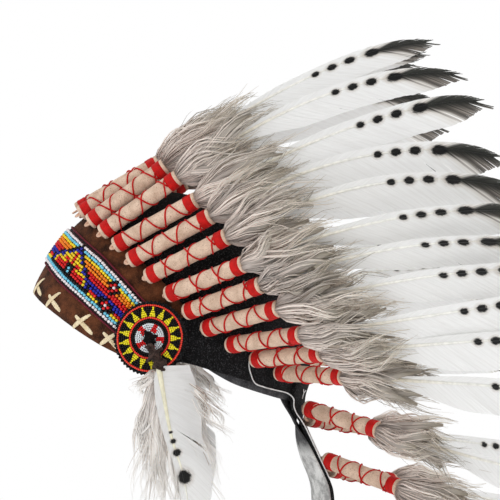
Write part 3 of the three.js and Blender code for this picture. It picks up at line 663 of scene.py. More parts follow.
make_piece("brow_leather_dressed", [strip(LEATHER_EDGE, -92, 92, LEATHER_IN, LEATHER_OUT, wave=0.15)],
           [suede_brown], ["brow_leather"])
make_piece("sweat_band_dressed", [strip(SWEAT_EDGE, 105, 255, -2.8, -1.3)], [suede_dark], ["sweat_band"])
print("leather and sweat band done")

# %% [markdown]
# ## Lacing on the leather's lower edge
# Flat hide lace is sewn in crosses over the lower edge. Each cross is two flat tubes whose ends dive
# into the leather, one over the other.

# %% Lace crosses
CROSS_TURNS = (16.2, 35.0, 55.0, 69.3)
LACE_HALF = 1.85
LACE_TAPER = np.array([[0.6, 0.8, 0.95, 1.05, 1.0, 0.95, 0.95, 0.9, 0.85, 0.75, 0.6, 0.3]])


def lace(turn, low, high, sway, over):
    """One leg of a cross: from the low edge to a point above it, arched away from the leather."""
    s = np.linspace(0, 1, 12)
    turns = turn + sway * (s - 0.5)
    heights = low + (high - low) * s
    lift = LEATHER_OUT - 0.5 + (0.9 + over) * np.sin(np.pi * s) ** 0.5
    path = on_form(turns, heights, lift)
    out = form_axes(turn, (low + high) / 2, LEATHER_OUT)[2]
    return tubes(path[None], LACE_HALF * LACE_TAPER, 8, out[None], flat=0.26)


crosses = []
for i, turn in enumerate(CROSS_TURNS):
    low = float(edge(LEATHER_EDGE, turn, 1)) + 0.6
    crosses.append(lace(turn, low, low + 15.5, 5.5, 0.9))
    crosses.append(lace(turn + 1.0, low + 2.0, low + 10.0, -13.5 + i, 0.0))
crosses += [mirrored(c) for c in crosses]
make_piece("lace_crosses", crosses, [lace_cream], ["brow_leather"])
print("crosses:", len(CROSS_TURNS), "a side")

# %% [markdown]
# ## The beaded band
# The band is woven on a loom: 13 beads across and one row every 3 mm along. The pattern is charted
# for half a repeat, from the middle of a stepped triangle to the middle of a small flower, and it is
# mirrored at both ends. One bead is a short barrel of 8 sides.

# %% Bead chart
BAND_EDGE = ((0, 24.4, 58), (14, 23.2, 57.4), (27, 18.9, 55), (39, 14.2, 51.6), (50, 10, 47.9), (65, 2.3, 38.5),
             (78, -5.2, 27.6), (86, -9.5, 21))
BAND_IN, BAND_OUT = 5.5, 8.2
BEAD_PITCH = 3.0
BEAD_RADIUS, BEAD_HALF = 1.31, 1.05
BEAD_COLOURS = {
    "W": (0.95, 0.87, 0.88), "L": (0.20, 0.68, 0.90), "Y": (1.0, 0.72, 0.02), "O": (1.0, 0.27, 0.01),
    "R": (0.76, 0.010, 0.012), "N": (0.02, 0.025, 0.40), "K": (0.003, 0.003, 0.003),
}
CHART = (
    "KWWWWWWWWWWWWWWWW",
    "NKLLLLLLLLLLLLLLK",
    "NNKYYYYYYYYYYYYKR",
    "RYNKOOOOOOOOOOKRW",
    "RYYNKOOOOOOOOOOKR",
    "RYYYYNKRRRRRRRRRK",
    "RYRRYNNKRRRRRRRRR",
    "KKRYYYYNNNNNNNNNK",
    "LKRRRRRYNKNNNNKKR",
    "LKRRRRRYNKRRRKKRW",
    "KKKKKKKKKKYYYYKKR",
    "LLLLLLLLLLLLLLLLK",
    "WWWWWWWWWWWWWWWWW",
)
HALF_REPEAT = 16


def chart_colours(columns):
    """Colour of each of the 13 beads of each column, by how far the column is from the nearest triangle."""
    k = np.abs(np.abs(columns) % (2 * HALF_REPEAT) - HALF_REPEAT)
    table = np.array([[BEAD_COLOURS[c] for c in row] for row in CHART])
    return table[:, k]


# %% Beads from arrays
def beads(centres, axis, out, radius, half, colours, mat=0, sides=8):
    """K barrels: rings of the given sides round the axis, at four places along it."""
    k = len(centres)
    side = np.cross(axis, out)
    a = 2 * np.pi * np.arange(sides) / sides
    along = np.array([-1.0, -0.5, 0.5, 1.0]) * half
    size = np.array([0.58, 1.0, 1.0, 0.58]) * radius
    ring = out[:, None, :] * np.cos(a)[:, None] + side[:, None, :] * np.sin(a)[:, None]
    points = (centres[:, None, None, :] + axis[:, None, None, :] * along[:, None, None]
              + ring[:, None, :, :] * size[:, None, None])
    base = np.arange(k)[:, None, None] * 4 * sides
    quads = (grid_faces(4, sides, True)[None] + base).reshape(-1, 4)
    j = np.arange(1, sides - 1)
    fan = np.stack([np.zeros_like(j), j, j + 1], -1)
    tris = (np.concatenate([fan[:, ::-1], fan + 3 * sides])[None] + base).reshape(-1, 3)
    tint = np.repeat(colours, 4 * sides, axis=0)
    made = part(points.reshape(-1, 3), quads, tris, mat=mat, colour=tint)
    return turned_out(made)


# %% Beaded band
def band_parts():
    """The cloth under the beads and the beads on it, in columns at equal lengths along the band's middle."""
    rng = np.random.default_rng(5)
    turn = np.linspace(0, 86, 1200)
    low, high = edge(BAND_EDGE, turn, 1), edge(BAND_EDGE, turn, 2)
    middle = on_form(turn, (low + high) / 2, BAND_OUT - 1)
    length = np.concatenate([[0], np.cumsum(np.linalg.norm(np.diff(middle, axis=0), axis=1))])
    count = int(length[-1] / BEAD_PITCH)
    columns = np.arange(-count, count + 1)
    at = np.interp(np.abs(columns) * BEAD_PITCH, length, turn) * np.sign(columns)
    low, high = edge(BAND_EDGE, at, 1), edge(BAND_EDGE, at, 2)
    rows = (np.arange(13) + 0.5) / 13
    height = high - 2.2 - (high - low - 4.4) * rows[:, None]
    turns = np.broadcast_to(at, height.shape)
    jitter = rng.normal(0, 0.12, height.shape)
    centres = on_form(turns + jitter, height + jitter[::-1], BAND_OUT - 1.05)
    _, up, out = form_axes(turns, height, BAND_OUT)
    tint = chart_colours(columns) * rng.uniform(0.88, 1.08, height.shape)[..., None]
    flat = lambda v: v.reshape(-1, 3)
    return beads(flat(centres), flat(up), flat(out), BEAD_RADIUS, BEAD_HALF, flat(np.clip(tint, 0, 1)), sides=7)


band = make_piece("band_beads", [band_parts()], [glass_beads], ["beaded_band"])
band_cloth = napped("band_cloth", (0.004, 0.003, 0.003), (0.012, 0.005, 0.006), (0.22, 0.015, 0.04), 900.0, 200.0,
                    0.0003, 0.1, 0.6)
cord_red = thread_finish("cord_red", (0.20, 0.012, 0.03), (0.03, 0.004, 0.008), 0.0012)
backing = strip(BAND_EDGE, -86, 86, BAND_IN, BAND_OUT - 1.6, levels=6)
piping = []
for column, shift in ((1, -0.2), (2, 0.2)):
    turn = np.linspace(-86, 86, 260)
    height = edge(BAND_EDGE, turn, column) + shift
    path = on_form(turn, height, BAND_OUT - 1.8)
    piping.append(tubes(path[None], 0.75, 8, np.array([[0.0, 0.0, 1.0]]), mat=1))
make_piece("band_backing", [backing] + piping, [band_cloth, cord_red], ["beaded_band"])
print("band:", len(band.data.polygons), "bead faces")

# %% [markdown]
# ## Rosettes
# Each rosette is a felt disc with a pinked rim and rings of small beads sewn on it. A bead's colour
# follows from its ring and its angle: white with five red rays, black, a red ring, black with yellow
# triangles, and a red ring outside.

# %% Rosette frame
ROSETTE_SEAT = np.array([83.978, -8.989, 10.460])
ROSETTE_OUT = np.array([0.97671, -0.17778, 0.12012])
ROSETTE_DOWN = np.array([0.11818, -0.02151, -0.99276])
ROSETTE_BACK = np.array([0.17908, 0.98383, 0.0])
ROSETTE_RADIUS = 28.7
FACE_OUT = 4.3


def rosette_spot(back, down, out):
    """Seat + back, down and out along the rosette's own three directions."""
    return (ROSETTE_SEAT + np.multiply.outer(back, ROSETTE_BACK) + np.multiply.outer(down, ROSETTE_DOWN)
            + np.multiply.outer(out, ROSETTE_OUT))


def rosette_disc(teeth=56, wall=2.0):
    """Rings from the middle to a zigzag rim, at both faces of the wall."""
    n = teeth * 4
    a = 2 * np.pi * np.arange(n) / n
    zigzag = 1.3 * np.abs((np.arange(n) / 4) % 1 - 0.5) * 2
    rim = ROSETTE_RADIUS - 1.3 + zigzag
    radii = np.stack([rim * 0 + 0.5, rim * 0.5, rim - 0.4, rim, rim, rim - 0.4, rim * 0.5, rim * 0 + 0.5])
    outs = np.array([wall, wall, wall, wall - 0.4, 0.4, 0, 0, 0])[:, None] + 0 * radii
    points = rosette_spot(radii * np.cos(a), radii * np.sin(a), outs).reshape(-1, 3)
    j = np.arange(1, n - 1)
    fan = np.stack([np.zeros_like(j), j, j + 1], -1)
    return turned_out(part(points, grid_faces(8, n, True), np.concatenate([fan[:, ::-1], fan + 7 * n])))


# %% Rosette beads
RAYS = np.radians([65, 137, 216, 283, 353])
RING_PITCH = 1.6
TRIANGLES = 17


def rosette_beads(seed):
    """Rings every pitch from the hole outwards; in a ring the beads are a pitch apart. In the rings with
    triangles the count is a multiple of the triangles, so each triangle is 3, 3, 2, 1 and 1 beads wide."""
    rng = np.random.default_rng(seed)
    radii = 4.1 + RING_PITCH * np.arange(14)
    counts = np.round(2 * np.pi * radii / (RING_PITCH * 0.98)).astype(int)
    per_point = np.array([4, 5, 5, 5, 5])
    wide = np.array([3, 3, 2, 1, 1])
    counts[8:13] = TRIANGLES * per_point
    ring = np.repeat(np.arange(14), counts)
    number = np.arange(counts.sum()) - np.concatenate([[0], np.cumsum(counts)[:-1]])[ring]
    shift = np.zeros(14)
    shift[8:13] = (wide % 2 == 0) / 2
    a = 2 * np.pi * (number + shift[ring]) / counts[ring]
    in_points = (ring >= 8) & (ring <= 12)
    size = per_point[np.clip(ring - 8, 0, 4)]
    away = np.abs((number + shift[ring] + size / 2) % size - size / 2)
    r = radii[ring] + rng.normal(0, 0.06, len(ring))
    lift = 3.2 + np.isin(ring, (7, 13)) * 0.35 + rng.normal(0, 0.05, len(ring))
    points = rosette_spot(r * np.cos(a), -r * np.sin(a), lift)
    off_ray = np.min(np.abs((a[:, None] - RAYS + np.pi) % (2 * np.pi) - np.pi), axis=1)
    code = np.full(len(ring), "K")
    code[ring <= 4] = "W"
    code[(ring >= 1) & (ring <= 4) & (off_ray * r < 2.0)] = "R"
    code[(ring == 7) | (ring == 13)] = "O"
    code[in_points & (away < wide[np.clip(ring - 8, 0, 4)] / 2)] = "Y"
    tint = np.array([BEAD_COLOURS[c] for c in code])
    tint[code == "O"] = (0.92, 0.055, 0.03)
    tint[code == "W"] = (0.84, 0.89, 0.92)
    tint[code == "Y"] = (0.96, 0.84, 0.02)
    tint = tint * rng.uniform(0.86, 1.06, len(ring))[:, None]
    along = np.multiply.outer(-np.sin(a), ROSETTE_BACK) - np.multiply.outer(np.cos(a), ROSETTE_DOWN)
    out = np.broadcast_to(ROSETTE_OUT, along.shape)
    return beads(points, unit(along), out, 0.82, 0.72, np.clip(tint, 0, 1), sides=6)


def rosette_ground():
    """A low black dish under the beads that fills the gaps between them."""
    n = 72
    a = 2 * np.pi * np.arange(n) / n
    radii = np.array([3.0, 3.4, 24.6, 25.9, 25.9, 3.0])[:, None] + 0 * a
    outs = np.array([2.6, 3.05, 3.05, 2.7, 2.3, 2.3])[:, None] + 0 * a
    points = rosette_spot(radii * np.cos(a), radii * np.sin(a), outs).reshape(-1, 3)
    faces = grid_faces(6, n, True)
    first = np.arange(n)
    close = np.stack([5 * n + first, 5 * n + (first + 1) % n, (first + 1) % n, first], -1)
    return turned_out(part(points, np.concatenate([faces, close])))


for side, seed in (("left", 21), ("right", 22)):
    flip = (lambda p: p) if side == "left" else mirrored
    make_piece(f"rosette_felt_{side}", [flip(rosette_disc())], [felt_black], [f"rosette_backing_{side}"])
    make_piece(f"rosette_beads_{side}", [flip(rosette_beads(seed))], [glass_beads],
               [f"rosette_beadwork_{side}"])
    make_piece(f"rosette_ground_{side}", [flip(rosette_ground())], [felt_black],
               [f"rosette_beadwork_{side}"])
print("rosettes done")

# %% [markdown]
# ## Where each feather sits and how it bends
# A row of the table gives one feather: the foot of its wrap, the way the wrap points (rise above
# level, flare away from the middle), the way its tip points, and its length as a share. The quill is
# found by adding small steps whose direction turns slowly from the first way to the second.

# %% Table of feathers
# foot x, y, z | rise, flare | tip rise, tip flare | length | trailing x, y, z | louvre share
CAP_FEATHERS = (
    (0.00, -71.77, 108.90, 30.5, 0, 9, 0, 0.97, 1.0000, 0.0000, 0.0000, 0),
    (18.72, -68.01, 106.00, 32, 5, 10, 3, 0.98, 0.8872, 0.4247, -0.1803, 1),
    (34.43, -59.33, 98.95, 36, 9, 11, 5, 0.99, 0.7198, 0.6390, -0.2712, 1),
    (47.38, -48.92, 90.62, 35.2, 12, -0.5, 10, 1.01, 0.5941, 0.7405, -0.3143, 1),
    (58.37, -37.74, 80.55, 28.7, 15, 7, 14, 1.00, 0.4958, 0.7994, -0.3393, 1),
    (67.82, -25.93, 69.24, 28.2, 18, -12, 20, 0.99, 0.4096, 0.8397, -0.3565, 1),
    (76.50, -11.78, 56.93, 26.4, 24, -15, 22, 1.00, 0.3177, 0.8728, -0.3705, 1),
    (82.19, 3.84, 43.46, 22, 33, -5, 21, 1.01, 0.2134, 0.8863, -0.3900, 1),
    (85.16, 18.01, 30.38, 20.7, 36, -9, 20, 1.02, 0.0950, 0.7722, -0.4836, 0.9),
    (84.25, 31.89, 17.64, 16.9, 39, -2, 19, 1.03, -0.0041, 0.5631, -0.6272, 0.73),
    (82.20, 50.39, 5.34, 10.7, 43, 11, 20, 1.03, -0.0562, 0.2809, -0.8089, 0.52),
    (76.05, 69.14, -5.99, 8.7, 47, 3, 22, 1.02, -0.0588, 0.1272, -0.9038, 0.4),
    (63.34, 87.87, -16.87, 1, 50, -3, 25, 1.00, -0.0955, 0.1065, -0.8952, 0.4),
)
TRAIL_FEATHERS = {
    "left": (
        (28.86, 110.16, -46.98, -13, 42, -8, 25, 1.00, -0.25, 0, -1, 0.5),
        (24.18, 125.45, -87.98, -16, 41, -12, 25, 1.00, -0.25, 0, -1, 0.5),
        (24.18, 135.99, -128.98, -19, 41, -16, 25, 0.98, -0.25, 0, -1, 0.5),
    ),
    "right": (
        (26.00, 113.28, -59.98, -13, 42, -8, 25, 1.00, -0.25, 0, -1, 0.5),
        (24.18, 131.24, -100.98, -16, 41, -12, 25, 1.00, -0.25, 0, -1, 0.5),
        (23.61, 136.18, -141.98, -19, 41, -16, 25, 0.98, -0.25, 0, -1, 0.5),
    ),
}
WRAP_LENGTH = 75.5
THREAD_BANDS = (2.8, 65.3)
CROSSED, CROSS_PITCH = 65.4 - 10.0, 21.5
FEATHER_LENGTH = 228.0
LOUVRE = math.radians(18)
VANE_BEND = 1.4
HOOK = 0.7


def aim(rise, flare):
    """Direction from the rise above level and the flare to the side."""
    rise, flare = np.radians(rise), np.radians(flare)
    level = np.cos(flare)
    return np.stack(np.broadcast_arrays(np.sin(flare), level * np.cos(rise), level * np.sin(rise)), -1)


class Quill:
    """The line of one feather. At a share along it: the point, the way it runs, the side that the wide
    vane is on, and the normal of the vane."""

    def __init__(self, start, ways, trailing, louvre, length, shares):
        self.shares, self.length = shares, length
        steps = (ways[1:] + ways[:-1]) / 2 * (np.diff(shares) * length)[:, None]
        points = np.concatenate([[np.zeros(3)], np.cumsum(steps, 0)])
        zero = [np.interp(0, shares, points[:, k]) for k in range(3)]
        self.points, self.ways = points - zero + start, ways
        side = unit(trailing - (ways @ trailing)[:, None] * ways)
        normal = np.cross(ways, side)
        self.sides = side * math.cos(louvre) + normal * math.sin(louvre)
        self.normals = np.cross(ways, self.sides)

    def at(self, share):
        """Point, way, side and normal at any array of shares; beyond the end it runs straight on."""
        share = np.asarray(share, float)
        pick = lambda table: np.stack([np.interp(share, self.shares, table[:, k]) for k in range(3)], -1)
        point, way = pick(self.points), pick(self.ways)
        over = np.maximum(share - self.shares[-1], 0)[..., None] * self.length
        return point + way * over, way, pick(self.sides), pick(self.normals)


def feather_quill(row):
    """The quill of one row of the table."""
    foot, trailing = np.array(row[0:3]), np.array(row[8:11])
    rise, flare, tip_rise, tip_flare, size = row[3:8]
    shares = np.linspace(-0.06, 1.0, 160)
    bend = np.maximum(shares, 0) ** VANE_BEND
    ways = aim(rise + (tip_rise - rise) * bend, flare + (tip_flare - flare) * bend)
    ways = unit(ways + np.multiply.outer(HOOK * np.clip((shares - 0.7) / 0.3, 0, 1) ** 3, trailing))
    start = foot + aim(rise, flare) * WRAP_LENGTH
    return Quill(start, ways, trailing, LOUVRE * row[11], FEATHER_LENGTH * size, shares)


# %% [markdown]
# ## Wraps
# The foot of each feather is wound in cream felt. Red thread is wound tight near both ends and laid in
# crosses between, and a small hide loop at the foot ties the wrap to the cap.


# %% One wrap
def wrap_parts(row, seed):
    """A tube of felt with slightly uneven radius, two bands of wound thread, two threads that wind round it
    in opposite directions, and the loop at the foot."""
    rng = np.random.default_rng(seed)
    foot, trailing = np.array(row[0:3]), np.array(row[8:11])
    way = aim(row[3], row[4])
    side = unit(trailing - way * (way @ trailing))
    face = np.cross(way, side)
    spot = lambda along: foot + np.multiply.outer(along, way)
    along = np.array([0, 0.25, 1.2, 2.6, 3.0, 10.2, 11, 20, 30, 40, 50, 60, 64.6, 65.4, 72.5, 72.9, 74.2, 75.2, 75.5])
    radius = np.array([5.0, 5.9, 6.4, 6.4, 6.1, 6.1, 6.2, 6.25, 6.2, 6.15, 6.2, 6.25, 6.2, 6.1, 6.1, 6.45, 6.5, 6.2,
                       5.2])
    felt = tubes(spot(along)[None], radius[None] + rng.normal(0, 0.06, (1, len(along))), 22, side[None], mat=0)
    parts = [felt]
    for begin in THREAD_BANDS:
        z = begin + np.array([0, 0.3, 1.2, 2.4, 3.6, 4.8, 6.0, 7.0, 7.3])
        r = np.array([6.0, 6.62, 6.78, 6.72, 6.8, 6.72, 6.8, 6.64, 6.0]) + rng.normal(0, 0.03, 9)
        parts.append(tubes(spot(z)[None], r[None], 22, side[None], mat=1))
    turns = CROSSED / CROSS_PITCH
    s = np.linspace(0, 1, 44)
    start = rng.uniform(0, 2 * np.pi)
    for spin in (1, -1):
        a = start + spin * 2 * np.pi * turns * s + 0.12 * np.sin(7 * s + start)
        z = 9.8 + 55.8 * s
        r = 6.55 + 0.25 * (spin > 0)
        path = spot(z) + r * (np.multiply.outer(np.cos(a), side) + np.multiply.outer(np.sin(a), face))
        parts.append(tubes(path[None], 0.66, 5, way[None], mat=1))
    s = np.linspace(-1, 1, 13)
    reach = 1.5 - 5.6 * np.cos(s * np.pi / 2)
    path = spot(reach) + np.multiply.outer(1.7 * np.sin(s * np.pi / 2), side)
    parts.append(tubes(path[None], 1.25, 7, face[None], flat=0.62, mat=2))
    return parts


# %% [markdown]
# ## Vanes
# A feather's vane is a row of barbs that leave the quill at a slant and hook together. Here it is made
# of narrow closed strips, each a bundle of barbs. At a few splits, most of them near the tip, the strips
# beyond are moved on, and a wedge stays open.

# %% Vane outline
VANE_SECTIONS = np.array([(-0.03, 0.3, 0.09), (0.25, 0.5, 0.25), (0.48, 0.95, 0.92), (0.74, 1, 1), (0.9, 0.95, 0.92),
                          (0.97, 0.74, 0.68), (1.02, 0.25, 0.22), (1.04, 0.02, 0.02)])
VANE_LEADING, VANE_TRAILING = 6.0, 21.5
LEADING_SLANT, TRAILING_SLANT = 24, 37


def half_width(share, column, size):
    """Half width at a share along, rounded by averaging the table over a short stretch."""
    return size * np.mean([np.interp(share + d, VANE_SECTIONS[:, 0], VANE_SECTIONS[:, column])
                           for d in (-0.035, -0.018, 0, 0.018, 0.035)], axis=0)


def strip_faces(cols):
    """Faces of one thin strip with two rows of cols points on top and the same below: top, under and rim."""
    c = np.arange(cols - 1)
    off = 2 * cols
    top = np.stack([c, c + 1, c + 1 + cols, c + cols], -1)
    ends = np.array([[cols, cols + off, off, 0], [cols - 1, cols - 1 + off, off + 2 * cols - 1, 2 * cols - 1]])
    return np.concatenate([
        top, top[:, ::-1] + off,
        np.stack([c, c + off, c + 1 + off, c + 1], -1),
        np.stack([c + 1, c + 1 + off, c + off, c], -1) + cols,
        ends,
    ])


def vane_side(quill, sign, width, slant, rng, bundles, columns, begin=0.03, end=0.99, splits=8, open_=0.0, parted=()):
    """Strips of barbs on one side, narrower towards the tip. A barb rooted at share s ends at width w where
    w = width(s + w / (length · tan slant)); that w is found by halving an interval. At a split, rooted at
    share c, the strips beyond c move on by gap · exp(-(s - c) / fade), most at their ends, and leave a wedge."""
    cuts = np.cumsum(rng.uniform(0.7, 1.3, bundles + 1) * np.linspace(1.35, 0.6, bundles + 1))
    cuts = begin + (end - begin) * (cuts - cuts[0]) / (cuts[-1] - cuts[0])
    s = np.stack([cuts[:-1], cuts[1:] + 0.0006], -1)
    lean = np.radians(slant) * (1 - 0.5 * np.clip((s - 0.72) / 0.28, 0, 1) + open_ * np.exp(-np.maximum(s, 0) / 0.12))
    low, high = np.zeros_like(s), np.full_like(s, 26.0)
    for _ in range(18):
        mid = (low + high) / 2
        more = width(s + mid / (quill.length * np.tan(lean))) > mid
        low, high = np.where(more, mid, low), np.where(more, high, mid)
    reach = low * (1 - 0.02 * rng.random((bundles, 1)))
    shift = reach / (quill.length * np.tan(lean))
    near_tip = np.clip((cuts[:-1, None] - 0.5) / 0.45, 0, 1)
    drift = rng.normal(0, 0.05 + 0.12 * near_tip, (bundles, 1))
    places = 1 - 0.8 * rng.random(splits) ** 1.6
    wedges = [(c, rng.uniform(1.0, 4.2) * (0.2 + c ** 3), rng.uniform(0.02, 0.05)) for c in places] + list(parted)
    for c, gap, fade in wedges:
        past = cuts[:-1, None] - c
        drift = drift + (past > 0) * gap * np.exp(-np.maximum(past, 0) / fade)
    lift = (rng.normal(0, 0.04 + 0.25 * near_tip, (bundles, 1)))[..., None]
    b = np.linspace(0, 1, columns + 1)
    root = s.mean(-1, keepdims=True)[..., None]
    narrow = 1 - 0.28 * near_tip[..., None] ** 3 * b ** 3
    share = root + (s[..., None] - root) * narrow + shift[..., None] * b ** 1.12
    share = share + drift[..., None] / quill.length * b ** 2
    across = sign * reach[..., None] * b
    point, way, side, normal = quill.at(share)
    camber = -0.0063 * across ** 2 + lift * b ** 2 + 0.35 * np.sin(s * 17 + sign)[..., None] * b
    middle = point + side * across[..., None] + normal * camber[..., None]
    thick = (0.36 - 0.24 * b)[..., None] / 2
    top, under = middle + normal * thick, middle - normal * thick
    cols = columns + 1
    points = np.concatenate([top.reshape(bundles, -1, 3), under.reshape(bundles, -1, 3)], 1)
    quads = (strip_faces(cols)[None] + np.arange(bundles)[:, None, None] * 4 * cols).reshape(-1, 4)
    uv = np.stack([share * quill.length, across], -1) * MM
    strand = np.stack([np.broadcast_to((s * quill.length)[..., None], share.shape), np.abs(across)], -1) * MM
    twice = lambda m: np.concatenate([m.reshape(bundles, -1, 2)] * 2, 1).reshape(-1, 2)
    return turned_out(part(points.reshape(-1, 3), quads, uv=twice(uv), strand=twice(strand)))


def quill_part(quill, begin, end, thick, thin, tone, power=0.8):
    """The quill itself: a tube whose radius falls from thick to thin. Its maps run along it."""
    share = np.linspace(begin, end, 40)
    point, _, side, _ = quill.at(share)
    radius = thick + (thin - thick) * np.clip(share, 0, 1) ** power
    made = tubes(point[None], radius[None], 8, side[:1], tone=tone, mat=1)
    along = np.repeat(share * quill.length * MM, 8)
    made["uv"] = np.stack([along, 0 * along], -1)
    made["strand"] = made["uv"]
    return made


def vane_parts(quill, seed, even=False, bundles=56):
    """Both sides of the vane and the quill between them."""
    rng = np.random.default_rng(seed)
    if even:
        lead = trail = lambda s: 0.45 * (half_width(s, 1, VANE_LEADING) + half_width(s, 2, VANE_TRAILING))
    else:
        lead = lambda s: half_width(s, 1, VANE_LEADING)
        trail = lambda s: half_width(s, 2, VANE_TRAILING)
    tone = rng.uniform(-1, 1)
    sides = [vane_side(quill, 1, trail, TRAILING_SLANT, rng, bundles, 7),
             vane_side(quill, -1, lead, LEADING_SLANT, rng, bundles - 14, 3, splits=0)]
    for p in sides:
        p["tone"] = np.full(len(p["points"]), tone)
    return sides + [quill_part(quill, -0.05, 0.985, 1.9, 0.35, tone)]


# %% [markdown]
# ## Fur plumes
# Each plume is a ring of locks that leave the top of the wrap, swell, and end in wisps. A lock is a
# tapered body with finer hairs that follow it and come together at its end. Waves and clumps come
# from sines with seeded random phases, so the same plume is made each time.


# %% Fur
def fur_parts(line, reach, start, swell, locks, hairs, seed, flat=1.0, bias=0.0, thick=1.0,
              body_every=3, wave=1.3, pale=0.0, points=8):
    """line(distance) gives point, side and normal. The middle of a lock at share t of its own reach lies at
    start + swell·q·bulge(t) from the line, drifts aside by a steady angle and waves twice, slow and quick.
    Its hairs lie round that middle, open out from the root, close in on the end, and stray a little. Every
    third lock or so also has a soft body that fills the plume, dark as painted shade inside it, and inner locks get
    lower tones as painted shade. wave is the size of the quick wave, pale lightens all, and points is the count along
    a hair."""
    rng = np.random.default_rng(seed)
    a = 2.39996 * np.arange(locks) + rng.uniform(-0.4, 0.4, locks)
    q = np.sqrt(rng.uniform(0.12, 1.0, locks))
    ends = reach * rng.uniform(0.5, 1.05, locks) * (1.08 - 0.18 * q)
    phase = rng.uniform(0, 2 * np.pi, (locks, 6))
    pace = rng.uniform(0.7, 1.3, (locks, 2))
    sway = rng.normal(0, 0.075, (locks, 2)) * reach
    width = rng.uniform(2.6, 4.6, locks) * thick

    def middle(t, k, inner=1.0):
        """Middle of locks k at shares t."""
        point, side, normal = line(ends[k][:, None] * t)
        bulge = start + inner * swell * q[k][:, None] * np.sin(np.pi * np.clip(t * 0.74 + 0.004, 0, 1)) ** 0.5
        angle = a[k][:, None] + 0.6 * np.sin(phase[k, 0:1] + 2.5 * t) * t
        slow, quick = 3.3 * t ** 0.8, wave * t ** 0.6
        u = bulge * np.cos(angle) + (bias + sway[k, 0:1] * t) * t
        v = bulge * np.sin(angle) + sway[k, 1:2] * t * t * 0.7
        u = u + slow * np.sin(2 * np.pi * pace[k, 0:1] * t + phase[k, 1:2])
        v = v + slow * np.sin(2 * np.pi * pace[k, 1:2] * t + phase[k, 2:3])
        u = u + quick * np.sin(3.6 * np.pi * pace[k, 1:2] * t + phase[k, 3:4])
        v = v + quick * np.sin(3.0 * np.pi * pace[k, 0:1] * t + phase[k, 4:5])
        return point + side * u[..., None] + normal * (v * flat)[..., None]

    filled = np.arange(0, locks, body_every)
    steps = np.broadcast_to(np.linspace(0, 0.85, 9), (len(filled), 9))
    taper = np.sin(np.pi * np.clip(steps * 0.95 + 0.14, 0, 1)) ** 0.7
    _, side0, normal0 = line(np.zeros((locks, 1)))
    turn = a + rng.normal(0, 0.7, locks)
    ref = unit(side0[:, 0] * np.cos(turn)[:, None] + normal0[:, 0] * np.sin(turn)[:, None])
    size = width[filled, None] * 1.15 * taper + 0.05
    # Painted shade: the filling bodies take a low tone, so they read as shade between the hairs.
    bodies = tubes(middle(steps, filled, 0.55), size, 7, ref[filled], flat=0.8, tone=pale - 0.45)
    k = np.repeat(np.arange(locks), hairs)
    n = len(k)
    t = np.linspace(0, 1, points)[None] * rng.uniform(0.7, 1.12, (n, 1))
    around = rng.uniform(0, 2 * np.pi, n)
    out = width[k] * np.sqrt(rng.uniform(0.05, 1.2, n))
    close = np.sin(np.pi * np.clip(t * 0.84 + 0.07, 0, 1)) ** 0.7
    stray = rng.normal(0, 1.5, (n, 1, 3)) * (t ** 2)[..., None]
    guard = rng.random(n) < 0.09
    wild = guard[:, None, None] * rng.normal(0, 4.5, (n, 1, 3)) * (t ** 2)[..., None]
    _, side, normal = line(ends[k][:, None] * t)
    ring = side * np.cos(around)[:, None, None] + normal * np.sin(around)[:, None, None] * max(flat, 0.5)
    curl = 0.7 * np.sin(2 * np.pi * (1.5 * t + rng.random((n, 1))))[..., None] * t[..., None]
    paths = middle(t, k) + ring * ((out[:, None] * close)[..., None] + curl) + stray + wild
    fine = np.where(guard, 0.24, rng.uniform(0.30, 0.62, n))[:, None]
    thin = fine * np.sin(np.pi * np.linspace(0.3, 0.96, points)) ** 0.8
    # Painted shade: the tone rises with q, so locks near the plume's middle are darker; the rest is random.
    tone = pale - 0.75 + 1.1 * q + rng.normal(0, 0.28, locks)
    shade = np.clip(tone[k] + rng.uniform(-0.3, 0.45, n), -0.7, 1)
    shade = np.where(guard & (rng.random(n) < 0.7), -1.0, shade)
    return [bodies, tubes(paths, thin, 3, unit(ref[k] + 0.01), tone=shade)]


FUR_LENGTH, FUR_ROOT, FUR_SWELL = 92.0, 2.6, 12.5


def plume(quill, seed, locks=25, hairs=11):
    """The fur round the top of a wrap, along the feather's quill."""

    def line(distance):
        point, _, side, normal = quill.at((distance - 1.5) / quill.length)
        return point, side, normal

    return fur_parts(line, FUR_LENGTH, FUR_ROOT, FUR_SWELL, locks, hairs, seed, bias=1.5)


# %% [markdown]
# ## All the feathers
# The left side is made from the table, and the right side from the same rows mirrored, with other
# random numbers, so the two sides match as hand-made ones do.

# %% Feathers of the cap and the trail
rows = [("feather_front", CAP_FEATHERS[0], False)]
for number, row in enumerate(CAP_FEATHERS[1:], 2):
    rows.append((f"feather_left_{number:02d}", row, False))
    rows.append((f"feather_right_{number:02d}", row, True))
for side, table in TRAIL_FEATHERS.items():
    for number, row in enumerate(table, 1):
        rows.append((f"trail_feather_{side}_{number}", row, side == "right"))
for seed, (node, row, other) in enumerate(rows, 100):
    flip = mirrored if other else (lambda p: p)
    quill = feather_quill(row)
    vane = [flip(p) for p in vane_parts(quill, seed, even=node == "feather_front")]
    make_piece(node + "_vane", vane, [vane_white, quill_horn], [node], crisp=50)
    make_piece(node + "_fur", [flip(p) for p in plume(quill, seed + 50)], [long_fur], [node])
    wrap = [flip(p) for p in wrap_parts(row, seed + 90)]
    make_piece(node + "_wrap", wrap, [felt_cream, thread_red, loop_hide], [node])
print("feathers:", len(rows))

# %% [markdown]
# ## The trail
# A strip of black felt lined with black suede hangs behind; lower down the lining is painted pale grey as a
# reflection. The felt's top lies on the cap, the lining starts inside the hem, and lower down their edges bend to
# the rear. Both are sheets of cloth: a smooth surface through the rows of a table.

# %% Trail sheets
NAPE = np.array([0.0, 105.036, -36.981])
